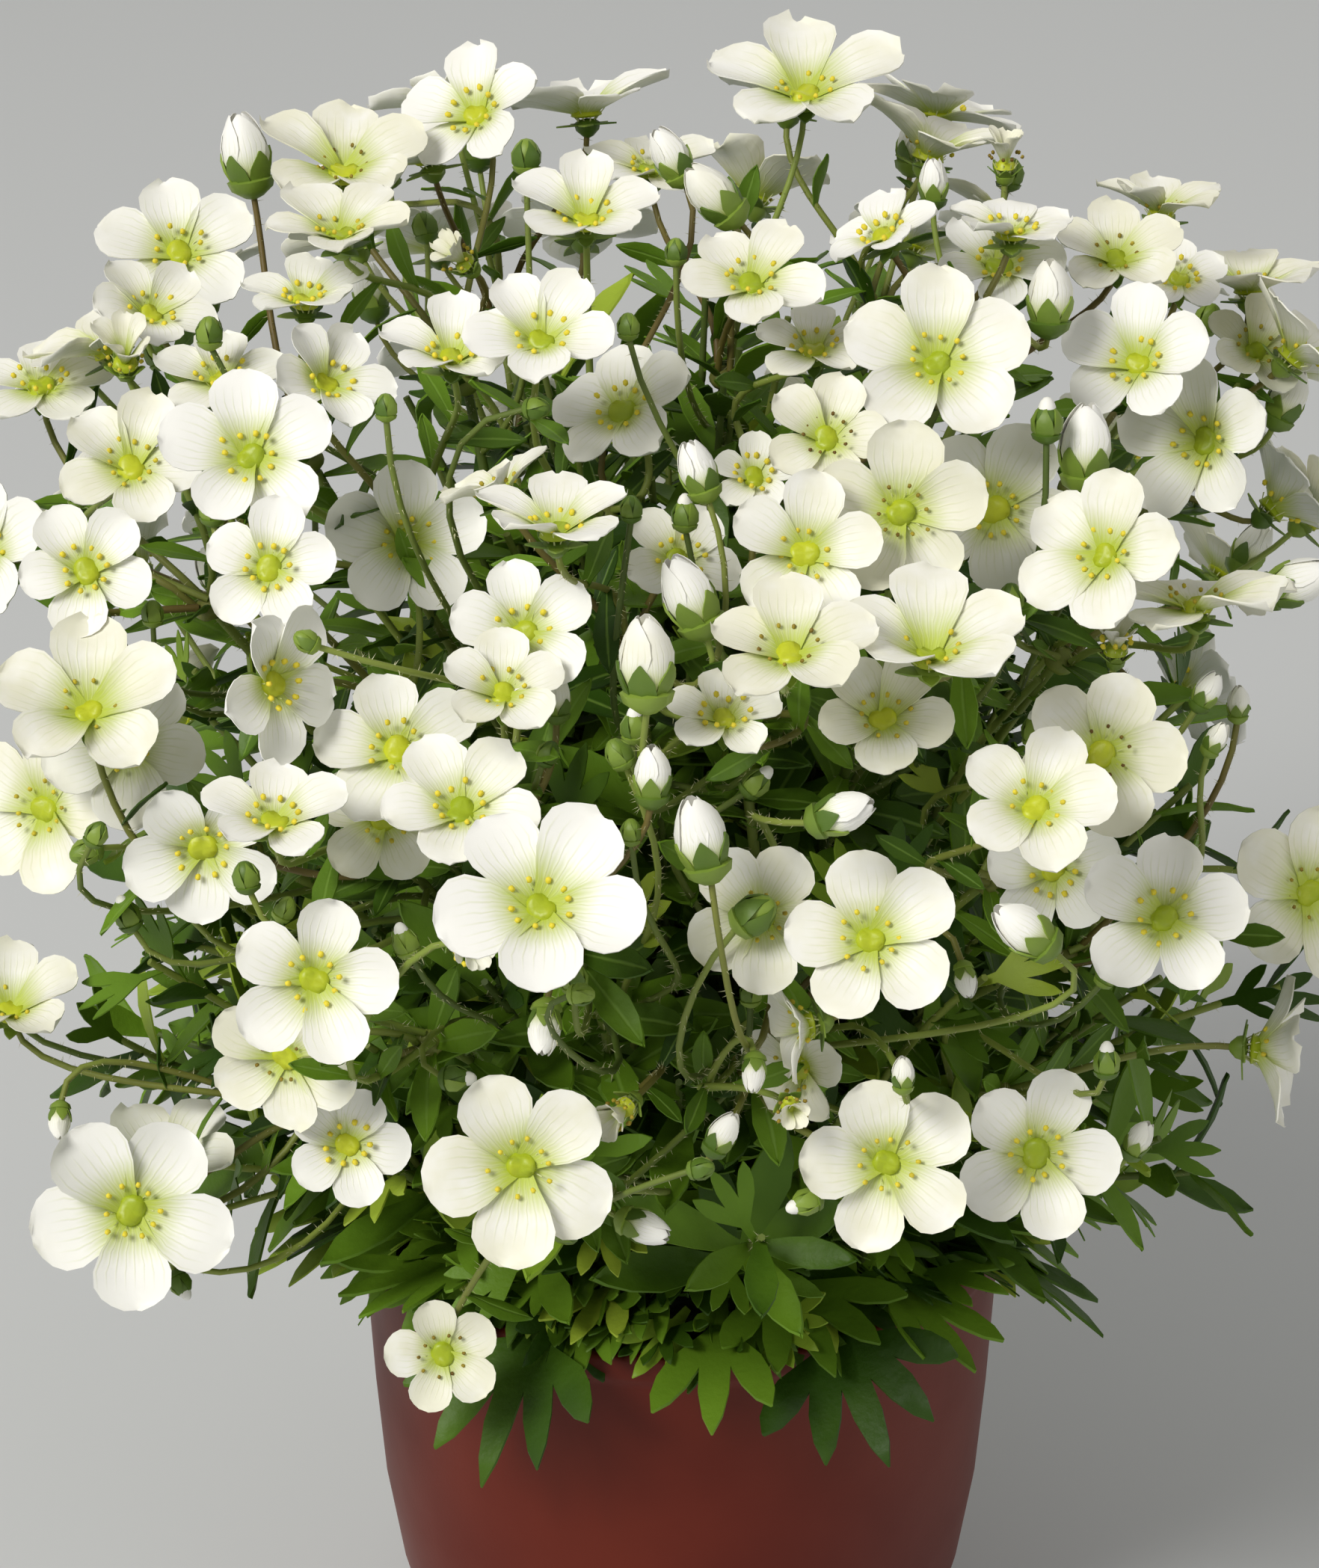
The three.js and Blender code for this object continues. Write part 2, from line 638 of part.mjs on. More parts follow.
// The way a branch leaves a stem: along it and to the side where it goes
function slanted(tangent, from, to) {
  const aside = to.clone().sub(from);
  aside.addScaledVector(tangent, -aside.dot(tangent)).normalize();
  return tangent.clone().multiplyScalar(branchLean.along)
    .addScaledVector(aside, branchLean.aside).normalize();
}

for (const stem of stems) {
  stem.curves = [];
  for (const head of stem.heads) {
    const end = along(head.fork, head.outward, -knotGap);
    const first = stem.curves[0];
    const from = first ? first.getPoint(branchPoint) : stem.root;
    const leaving = first ? slanted(first.getTangent(branchPoint), from, end) : SKY;
    stem.curves.push(clearPath({
      from, leaving, to: end, arriving: head.outward, radius: stemRadius, steps: stemSteps,
      node: stem.name,
    }).curve);
  }
}

function setPedicel(from, leaving, piece, node) {
  const path = clearPath({
    from, leaving, to: piece.base, arriving: piece.axis, radius: pedicelRadius, steps: piece.steps,
    node, piece,
  });
  piece.curve = path.curve;
  piece.steps = path.steps;
}

// The pedicels of a head rise from its knot in a ring, in the order of where they go
function setStarts(head, pieces) {
  const x = sideways(head.outward, 0);
  const y = sideways(head.outward, Math.PI / 2);
  const turnOf = ({ base }) => {
    const aside = base.clone().sub(head.fork);
    return Math.atan2(aside.dot(y), aside.dot(x));
  };
  const ordered = [...pieces].sort((one, other) => turnOf(one) - turnOf(other));
  const share = (2 * Math.PI) / ordered.length;
  const turns = ordered.reduce((sum, piece, k) => sum + turnOf(piece) - share * k, 0);
  const offset = turns / ordered.length;
  const widest = Math.max(knot.leastRing, knot.ringPerPedicel * ordered.length);
  head.ring = ordered.length > 1 ? widest : 0;
  for (const [k, piece] of ordered.entries()) {
    const turn = offset + share * k;
    piece.start = along(head.fork, head.outward, knot.length - knot.seat)
      .addScaledVector(x, head.ring * Math.cos(turn))
      .addScaledVector(y, head.ring * Math.sin(turn));
  }
}

// Blooms and white buds rise from the knot of their head, which other stalks keep clear of as well
for (const head of stems.flatMap(({ heads }) => heads)) {
  for (const bloom of head.blooms) {
    bloom.axis = bloom.normal;
    bloom.base = along(bloom.centre, bloom.normal, -calyxDepth * 0.3);
  }
  head.raised = [...head.blooms, ...head.buds.filter((bud) => bud.stage === 2)];
  setStarts(head, head.raised);
  const points = [head.fork, along(head.fork, head.outward, knot.length)];
  tubes.push({ node: head.name, points, radius: head.ring + knot.edge });
}

for (const stem of stems) {
  for (const [index, head] of stem.heads.entries()) {
    for (const piece of head.raised) {
      setPedicel(piece.start, head.outward, piece, head.name);
    }
    for (const [k, bud] of head.buds.filter(({ stage }) => stage < 2).entries()) {
      const curve = stem.curves[index];
      const place = firstBudPlace - budPlaceStep * k;
      const from = curve.getPoint(place);
      const leaving = slanted(curve.getTangent(place), from, bud.base);
      setPedicel(from, leaving, bud, stem.name);
    }
  }
}

// Solids

// A closed geometry as a solid. Only places are kept, vertices at one place become one, and
// triangles that this shuts to a line go.
function toSolid(geometry) {
  geometry.deleteAttribute("normal");
  geometry.deleteAttribute("uv");
  const merged = mergeVertices(geometry, 1e-4);
  const corners = merged.index.array;
  const triangles = [];
  for (let i = 0; i < corners.length; i += 3) {
    const [a, b, c] = corners.slice(i, i + 3);
    if (a !== b && b !== c && c !== a) triangles.push(a, b, c);
  }
  return new wasm.Manifold(new wasm.Mesh({
    numProp: 3,
    vertProperties: Float32Array.from(merged.attributes.position.array),
    triVerts: Uint32Array.from(triangles),
  }));
}

function placement(centre, normal, spin) {
  const turn = new THREE.Quaternion().setFromUnitVectors(TOWARD, normal);
  const x = RIGHT.clone().applyQuaternion(turn);
  const y = UP.clone().applyQuaternion(turn);
  const matrix = new THREE.Matrix4().makeBasis(x, y, normal).setPosition(centre);
  return matrix.multiply(new THREE.Matrix4().makeRotationZ(degrees(spin)));
}

// A thin blade with a lobed outline, thick in the middle: a ball of few faces, flattened and pulled
// out to the outline. A grown blade is larger all round, to cut room for this one.
function blade(outline, top, bottom, grow = 0) {
  const bands = grow > 0 ? 3 : 2;
  const geometry = new THREE.SphereGeometry(1, outline.length, bands);
  const { position } = geometry.attributes;
  for (let i = 0; i < position.count; i++) {
    const band = Math.floor(i / (outline.length + 1));
    const [x, y, z] = outline[(i % (outline.length + 1)) % outline.length];
    const outward = 1 + (grow * 1.6) / Math.max(1, Math.hypot(x - top[0], y - top[1]));
    if (band === 0) position.setXYZ(i, top[0], top[1], top[2] + grow);
    else if (band === bands) position.setXYZ(i, bottom[0], bottom[1], bottom[2] - grow);
    else {
      const lift = grow > 0 ? grow * (band === 1 ? 1 : -1) : 0;
      position.setXYZ(i, top[0] + (x - top[0]) * outward, top[1] + (y - top[1]) * outward, z + lift);
    }
  }
  return geometry;
}

// A piece and its three-sided stalk in one closed skin: a ball of few faces whose top is the crown,
// whose widest row is the outline, and whose lower rows gather into the corners of the stalk
function stalked(outline, crown, { curve, steps }) {
  const geometry = new THREE.SphereGeometry(1, outline.length, steps + 3);
  const { position } = geometry.attributes;
  const places = curve.getSpacedPoints(steps);
  const frames = curve.computeFrenetFrames(steps);
  const facing = outline.map((point) =>
    point.clone().sub(crown).normalize().dot(frames.normals[steps]));
  const nearest = facing.indexOf(Math.max(...facing));
  const first = nearest - Math.floor(outline.length / 6) + outline.length;
  for (let i = 0; i < position.count; i++) {
    const row = Math.floor(i / (outline.length + 1));
    const place = (i % (outline.length + 1)) % outline.length;
    const step = steps + 2 - row;
    let point = places[0];
    if (row === 0) point = crown;
    else if (row === 1) point = outline[(first + place) % outline.length];
    else if (step >= 0) {
      const turn = (Math.floor((3 * place) / outline.length) * 2 * Math.PI) / 3;
      point = along(along(places[step], frames.normals[step], pedicelRadius * Math.cos(turn)),
        frames.binormals[step], pedicelRadius * Math.sin(turn));
    }
    position.setXYZ(i, point.x, point.y, point.z);
  }
  return geometry;
}

// Five petals that rise from the receptacle, each with its own small lift
function petalOutline(bloom) {
  const outline = [];
  const shape = [[-36, 0.5], [-15, 0.97], [15, 0.97]];
  for (let petal = 0; petal < 5; petal++) {
    const lift = degrees(bloom.rise + 8 * (draw(bloom.item, 10 + petal) - 0.5));
    const length = bloom.radius * (1 + 0.08 * (draw(bloom.item, 20 + petal) - 0.5));
    for (const [angle, share] of shape) {
      const way = degrees(angle + 72 * petal);
      const flat = share * length * Math.min(1, Math.cos(lift) * 1.08);
      const fall = angle === -36 ? notchFall * flat : 0;
      outline.push([flat * Math.cos(way), flat * Math.sin(way), flat * Math.tan(lift) - fall]);
    }
  }
  return outline;
}

function corolla(bloom, grow) {
  const geometry = blade(petalOutline(bloom), [0, 0, crownHeight],
    [0, 0, -calyxDepth * calyxSeat], grow);
  return geometry.applyMatrix4(placement(bloom.centre, bloom.normal, bloom.spin));
}

function wholeBloom(bloom) {
  const place = placement(bloom.centre, bloom.normal, bloom.spin);
  const outline = petalOutline(bloom)
    .map((point) => new THREE.Vector3(...point).applyMatrix4(place));
  return stalked(outline, along(bloom.centre, bloom.normal, crownHeight), bloom);
}

function budPlace(bud) {
  return placement(along(bud.base, bud.axis, bud.length / 2 - budSeat), bud.axis, 0);
}

function budRadius({ length, stage }) {
  return length * (stage === 2 ? budWidth.white : budWidth.green);
}

function wholeBud(bud) {
  const width = budRadius(bud);
  const outline = Array.from({ length: budSides }, (_, k) => {
    const turn = (2 * Math.PI * k) / budSides;
    return new THREE.Vector3(width * Math.cos(turn), width * Math.sin(turn), 0)
      .applyMatrix4(budPlace(bud));
  });
  return stalked(outline, along(bud.base, bud.axis, bud.length - budSeat), bud);
}

// A bud: a slim egg of few faces, from its calyx to its tip
function budShape(bud, grow) {
  const geometry = new THREE.SphereGeometry(1, budSides, 2);
  geometry.rotateX(Math.PI / 2);
  const width = budRadius(bud) + grow;
  geometry.scale(width, width, bud.length / 2 + grow);
  return geometry.applyMatrix4(budPlace(bud));
}

function polygon(radius, sides) {
  return new THREE.Shape(Array.from({ length: sides }, (_, k) =>
    new THREE.Vector2(radius, 0).rotateAround(new THREE.Vector2(), (2 * Math.PI * k) / sides)));
}

// A tube along a path, whose ends reach as much further as it is made larger
function tube(curve, radius, sides, steps, grow = 0) {
  const section = polygon(radius + grow / Math.cos(Math.PI / sides), sides);
  const geometry = new THREE.ExtrudeGeometry(section,
    { steps, bevelEnabled: false, extrudePath: curve });
  for (const [end, way] of [[0, -1], [1, 1]]) {
    const middle = curve.getPoint(end);
    const tangent = curve.getTangent(end);
    const { position } = geometry.attributes;
    for (let i = 0; i < position.count; i++) {
      const corner = new THREE.Vector3().fromBufferAttribute(position, i);
      const off = corner.clone().sub(middle);
      if (off.length() > 2 * radius + grow || Math.abs(off.dot(tangent)) > 1e-3) continue;
      corner.addScaledVector(tangent, way * grow);
      position.setXYZ(i, corner.x, corner.y, corner.z);
    }
  }
  return geometry;
}

// The knot at the end of a stem, from which a head's pedicels rise
function knotShape(head, grow) {
  const section = polygon(head.ring + knot.edge + grow, knot.sides);
  const geometry = new THREE.ExtrudeGeometry(section,
    { depth: knot.length + 2 * grow, bevelEnabled: false });
  return geometry.applyMatrix4(placement(along(head.fork, head.outward, -grow), head.outward, 0));
}

// The blade of a stem's leaf, which leaves the stem at a slant with its face up the stem
function stemLeafShape(leaf, grow) {
  const { length } = leaf;
  const aside = stemLeaf.width / 2;
  const outline = [[-1, 0, 0], [length * 0.5, -aside, 0.4], [length, 0, -0.8],
    [length * 0.5, aside, 0.4]];
  const half = stemLeaf.thickness / 2;
  const geometry = blade(outline, [length * 0.45, 0, half], [length * 0.45, 0, -half], grow);
  const matrix = new THREE.Matrix4().makeBasis(leaf.way,
    new THREE.Vector3().crossVectors(leaf.face, leaf.way), leaf.face);
  return geometry.applyMatrix4(matrix.setPosition(leaf.root));
}

// Where a stem's leaves grow, each turned by the golden angle from the last
function stemLeaves(curve, from, seed) {
  const leaves = [];
  const count = Math.max(2, Math.round((curve.getLength() * (1 - from)) / leafGap));
  for (let k = 0; k < count; k++) {
    const place = from + ((lastLeafPlace - from) * (k + 0.5)) / count;
    const tangent = curve.getTangent(place);
    const side = sideways(tangent, seed + k * goldenAngle);
    const slant = degrees(stemLeaf.slant + stemLeaf.slantSpread * draw(seed * 50 + k, 31));
    const way = tangent.clone().multiplyScalar(Math.cos(slant))
      .addScaledVector(side, Math.sin(slant));
    const face = tangent.clone().addScaledVector(way, -tangent.dot(way)).normalize();
    const length = stemLeaf.length + stemLeaf.spread * (draw(seed * 50 + k, 32) - 0.4);
    leaves.push({ root: curve.getPoint(place), along: tangent, way, face, length });
  }
  return leaves;
}

// A basal leaf: three or five narrow lobes spread like a hand at the end of a flat stalk
function basalLeafShape(leaf, grow) {
  const { length, lobes, droop } = leaf;
  const palm = length * basalLeaf.palm;
  const reach = length - palm;
  const bendAt = (x) => -droop * (x / length) ** 2 * length;
  const outline = [[-2, 0, 0]];
  const half = (lobes - 1) / 2;
  const addPoint = (angle, share) => {
    const way = degrees(angle);
    const x = palm + reach * share * Math.cos(way);
    outline.push([x, reach * share * Math.sin(way), bendAt(x)]);
  };
  const spreadAngle = lobes === 5 ? 33 : 42;
  addPoint(-spreadAngle * (half + 0.5) - 22, 0.3);
  for (let lobe = -half; lobe <= half; lobe++) {
    addPoint(spreadAngle * lobe, 1 - 0.1 * Math.abs(lobe));
    if (lobe < half) addPoint(spreadAngle * (lobe + 0.5), 0.5);
  }
  addPoint(spreadAngle * (half + 0.5) + 22, 0.3);
  const thick = basalLeaf.thickness / 2;
  const geometry = blade(outline, [palm, 0, bendAt(palm) + thick],
    [palm, 0, bendAt(palm) - thick], grow);
  const matrix = new THREE.Matrix4().makeBasis(leaf.way,
    new THREE.Vector3().crossVectors(leaf.face, leaf.way), leaf.face);
  return geometry.applyMatrix4(matrix.setPosition(leaf.root));
}

// The basal leaves stand out of the cushion all over, from drooping at the rim to upright in its
// middle
function basalLeaves() {
  const leaves = [];
  for (let k = 0; k < basalLeaf.count; k++) {
    const share = Math.sqrt((k + 0.5) / basalLeaf.count);
    const turn = k * goldenAngle;
    const out = share * cushion.radius - cushion.rootInset;
    const height = coreTop - cushion.fall * share ** 3 - cushion.sink;
    const outward = new THREE.Vector3(Math.cos(turn), Math.sin(turn), 0);
    const round = new THREE.Vector3(-outward.y, outward.x, 0);
    const climb = cushion.climb - cushion.climbFall * share + 0.35 * (draw(k, 41) - 0.5);
    const way = outward.clone().addScaledVector(SKY, climb)
      .addScaledVector(round, 0.8 * (draw(k, 42) - 0.5)).normalize();
    const face = SKY.clone().addScaledVector(way, -way.z).normalize();
    face.applyAxisAngle(way, 0.9 * (draw(k, 43) - 0.5));
    leaves.push({
      root: outward.clone().multiplyScalar(out).setZ(height), way, face,
      length: basalLeaf.length + basalLeaf.spread * draw(k, 44) + basalLeaf.longerAtRim * share,
      lobes: draw(k, 45) < 0.4 ? 5 : 3,
      droop: 0.1 + 0.25 * share * draw(k, 46),
    });
  }
  return leaves;
}

// Profiles of revolution, drawn from the axis and back to it
function revolved(profile, sides) {
  const points = profile.map(([radius, height]) => new THREE.Vector2(radius, height));
  const geometry = new THREE.LatheGeometry(points, sides);
  return toSolid(geometry.rotateX(Math.PI / 2));
}

// The pot: a thin wall of revolution with a small lip and a plain flat base. It can be made
// larger all round, to keep the plant clear of it.
function potSolid(grow = 0) {
  return revolved([[0, 0], ...potOutline.map(([radius, height]) => [radius + grow, height]),
    [lipRadius - 0.8 + grow, potHeight + grow], [lipRadius - potWall - 0.8 - grow, potHeight + grow],
    ...innerWall(grow).reverse(), [0, potFloor + grow]], potSides);
}

// The inside of the pot's wall, from the floor up, set in by a gap
function innerWall(gap) {
  return [[potOutline[1][0] - potWall - gap, potFloor + gap], [potOutline[3][0] - potWall - gap, 22],
    [potOutline[5][0] - potWall - gap, 56.6]];
}

// The soil fills the pot to below its rim
function soilBody(grow = 0) {
  return revolved([[0, potFloor + fitGap], ...innerWall(fitGap), [soilRadius, soilTop + grow],
    [0, soilTop + soilCrown + grow]], potSides);
}

// Elements of the plant's nodes. Tubes stay whole, and petals and leaves give way to them.
const elements = [];
const walls = [potSolid(clearance), soilBody(clearance)];

// Whether a leaf, as placed, meets anything of another node
function isClear(node, geometry) {
  const box = new THREE.Box3().setFromBufferAttribute(geometry.attributes.position);
  const solid = toSolid(geometry);
  const meets = ({ shape }) => !solid.intersect(toSolid(shape(clearance))).isEmpty();
  const near = elements.filter((other) => other.node !== node && other.box.intersectsBox(box));
  return walls.every((wall) => wall.intersect(solid).isEmpty()) && !near.some(meets);
}

// Adds a leaf turned round its root to the first way in which it is clear, or leaves it out
function addLeaf(node, rank, leaf, axis, shape) {
  for (const turn of leafTurns) {
    const way = leaf.way.clone().applyAxisAngle(axis, turn);
    const face = leaf.face.clone().applyAxisAngle(axis, turn);
    const placed = { ...leaf, way, face };
    if (!isClear(node, shape(placed, 0))) continue;
    addElement(node, rank, (grow) => shape(placed, grow));
    return;
  }
}

function addElement(node, rank, shape, part = {}) {
  const box = new THREE.Box3().setFromBufferAttribute(shape(clearance).attributes.position);
  elements.push({ node, rank, shape, box, ...part });
}

// The order in which elements are laid: a later one gives way to an earlier one
const TUBE = 0;
const PETAL = 1;
const STEM_LEAF = 2;
const BASAL_LEAF = 3;

// A bloom or bud and its stalk: one whole skin where nothing is in its way, and otherwise its
// blade, cut clear of what is, on its own tube
function addStalked(node, piece, blades, whole) {
  addElement(node, TUBE, (grow) => tube(piece.curve, pedicelRadius, 3, piece.steps, grow), { piece });
  addElement(node, PETAL, (grow) => blades(piece, grow), { piece, whole: () => whole(piece) });
}

for (const stem of stems) {
  for (const [branch, head] of stem.heads.entries()) {
    const curve = stem.curves[branch];
    addElement(stem.name, TUBE, (grow) => tube(curve, stemRadius, stemSides, stemSteps, grow));
    addElement(head.name, TUBE, (grow) => knotShape(head, grow));
    for (const bloom of head.blooms) addStalked(head.name, bloom, corolla, wholeBloom);
    for (const bud of head.buds) {
      if (bud.length >= leastBud) {
        addStalked(bud.stage === 2 ? head.name : stem.name, bud, budShape, wholeBud);
      }
    }
  }
}
for (const [index, stem] of stems.entries()) {
  for (const [branch, curve] of stem.curves.entries()) {
    const from = branch ? firstLeafPlace.branch : firstLeafPlace.stem;
    for (const leaf of stemLeaves(curve, from, index * 2 + branch + 1)) {
      addLeaf(stem.name, STEM_LEAF, leaf, leaf.along, stemLeafShape);
    }
  }
}
for (const leaf of basalLeaves()) {
  addLeaf("cushion", BASAL_LEAF, leaf, SKY, basalLeafShape);
}

function joined(solids) {
  return solids.reduce((sum, solid) => sum.add(solid));
}

function largest(solid) {
  return solid.decompose().sort((one, other) => other.volume() - one.volume())[0];
}

// Cuts room for every element that comes before this node's own, where they come near it
function givingWay(solid, node, rank, order) {
  const { min, max } = solid.boundingBox();
  const box = new THREE.Box3(new THREE.Vector3(...min), new THREE.Vector3(...max));
  let rest = solid;
  for (const [index, other] of elements.entries()) {
    if (other.node === node || !other.box.intersectsBox(box)) continue;
    if (other.rank > rank || (other.rank === rank && index > order)) continue;
    rest = rest.subtract(toSolid(other.shape(clearance)));
  }
  return rest;
}

function plantNode(node, core = null) {
  const own = elements.map((element, index) => ({ ...element, index }))
    .filter((element) => element.node === node);
  const wholePieces = new Set();
  const blades = own.filter(({ rank }) => rank !== TUBE);
  const bladeSolids = blades.map(({ rank, shape, index, piece, whole }) => {
    const solid = toSolid(shape(0));
    const rest = givingWay(solid, node, rank, index);
    if (!whole || rest.numTri() !== solid.numTri()) return rest;
    wholePieces.add(piece);
    return toSolid(whole());
  });
  const tubeSolids = own
    .filter(({ rank, piece }) => rank === TUBE && !wholePieces.has(piece ?? node))
    .map(({ shape }) => toSolid(shape(0)));
  const solids = [...tubeSolids, ...bladeSolids];
  if (core) solids.push(givingWay(core, node, BASAL_LEAF, elements.length));
  return largest(joined(solids));
}

// Finished pieces

const group = new THREE.Group();

function addMesh(name, solid, color, roughness) {
  const { numProp, vertProperties, triVerts } = solid.getMesh();
  const places = new Float32Array((vertProperties.length / numProp) * 3);
  for (let i = 0; i < places.length / 3; i++) {
    places.set(vertProperties.subarray(i * numProp, i * numProp + 3), i * 3);
  }
  const geometry = new THREE.BufferGeometry();
  geometry.setAttribute("position", new THREE.BufferAttribute(places, 3));
  geometry.setIndex(new THREE.BufferAttribute(Uint32Array.from(triVerts), 1));
  const material = new THREE.MeshStandardMaterial(
    { color, roughness, metalness: 0, flatShading: true });
  const mesh = new THREE.Mesh(geometry, material);
  mesh.name = name;
  group.add(mesh);
}

const soilClear = fitGap + 0.1;
const core = revolved([[0, soilTop + soilCrown + soilClear], ...coreOutline, [0, coreTop]], coreSides);

addMesh("pot", potSolid(), 0x6f3325, 0.42);
addMesh("soil", givingWay(soilBody(), "soil", TUBE, elements.length), 0x2e211a, 0.95);
addMesh("cushion", plantNode("cushion", core), 0x3f6b22, 0.6);
for (const stem of stems) {
  addMesh(stem.name, plantNode(stem.name), 0x6d8a34, 0.65);
  for (const head of stem.heads) {
    addMesh(head.name, plantNode(head.name), 0xf3f1e8, 0.6);
  }
}

export default group;
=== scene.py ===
# %% [markdown]
# # A potted saxifrage
# The frame is the part as it was built: a pot, its soil, a cushion of basal leaves, leafy
# stems, and heads of blooms. Here each plain solid of the plant gets its finer form: thin
# veined petals, hearts with stamens, hairy stalks and lobed leaves. They could be modelled
# one by one, but a plant repeats itself, so each kind of piece is modelled once, by hand, and
# its copies are laid where the plant bears them.
# %% The frame
import math

import bmesh
import bpy
import numpy as np
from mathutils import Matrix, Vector


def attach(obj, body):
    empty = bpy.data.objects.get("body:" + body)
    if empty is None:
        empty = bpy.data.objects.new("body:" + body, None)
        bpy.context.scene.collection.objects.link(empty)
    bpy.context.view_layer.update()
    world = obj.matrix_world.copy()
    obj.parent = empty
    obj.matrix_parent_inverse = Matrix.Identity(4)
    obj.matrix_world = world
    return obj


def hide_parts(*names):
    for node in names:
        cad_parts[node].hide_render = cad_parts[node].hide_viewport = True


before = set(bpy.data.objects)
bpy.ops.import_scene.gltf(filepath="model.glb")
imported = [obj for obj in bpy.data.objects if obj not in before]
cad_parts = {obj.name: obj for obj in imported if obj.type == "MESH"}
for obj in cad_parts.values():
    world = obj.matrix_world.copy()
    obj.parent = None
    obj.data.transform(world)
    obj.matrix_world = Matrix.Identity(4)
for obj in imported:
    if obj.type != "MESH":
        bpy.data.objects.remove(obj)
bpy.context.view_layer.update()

bpy.ops.object.select_all(action="DESELECT")
print("solids in the frame:", len(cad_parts))

# %% [markdown]
# ## The camera
# The photograph looks down on the plant from in front. A long lens from 900 mm away keeps the
# ball of blooms in its true proportions. In Blender the sensor's size belongs to the picture's
# longer side, here its height.
# %% The camera
MM = 0.001
ELEVATION = math.radians(25)
VIEW_DISTANCE = 900.0
VIEW_ACROSS, VIEW_UP = -3.75, 152.2
VIEW_HEIGHT = 262.1
SENSOR = 36.0

RIGHT = np.array([1.0, 0.0, 0.0])
SKY = np.array([0.0, 0.0, 1.0])
UP = np.array([0.0, math.sin(ELEVATION), math.cos(ELEVATION)])
TOWARD = np.array([0.0, -math.cos(ELEVATION), math.sin(ELEVATION)])
VIEW_CENTRE = np.array([VIEW_ACROSS, 0.0, VIEW_UP / math.cos(ELEVATION)])

eye = bpy.data.cameras.new("eye")
eye.sensor_width = SENSOR
eye.lens = SENSOR * VIEW_DISTANCE / VIEW_HEIGHT
camera = bpy.data.objects.new("camera", eye)
camera.location = Vector((VIEW_CENTRE + TOWARD * VIEW_DISTANCE) * MM)
camera.rotation_euler = (math.pi / 2 - ELEVATION, 0, 0)
bpy.context.scene.collection.objects.link(camera)
bpy.context.scene.camera = camera
print("lens:", round(eye.lens, 1), "mm")

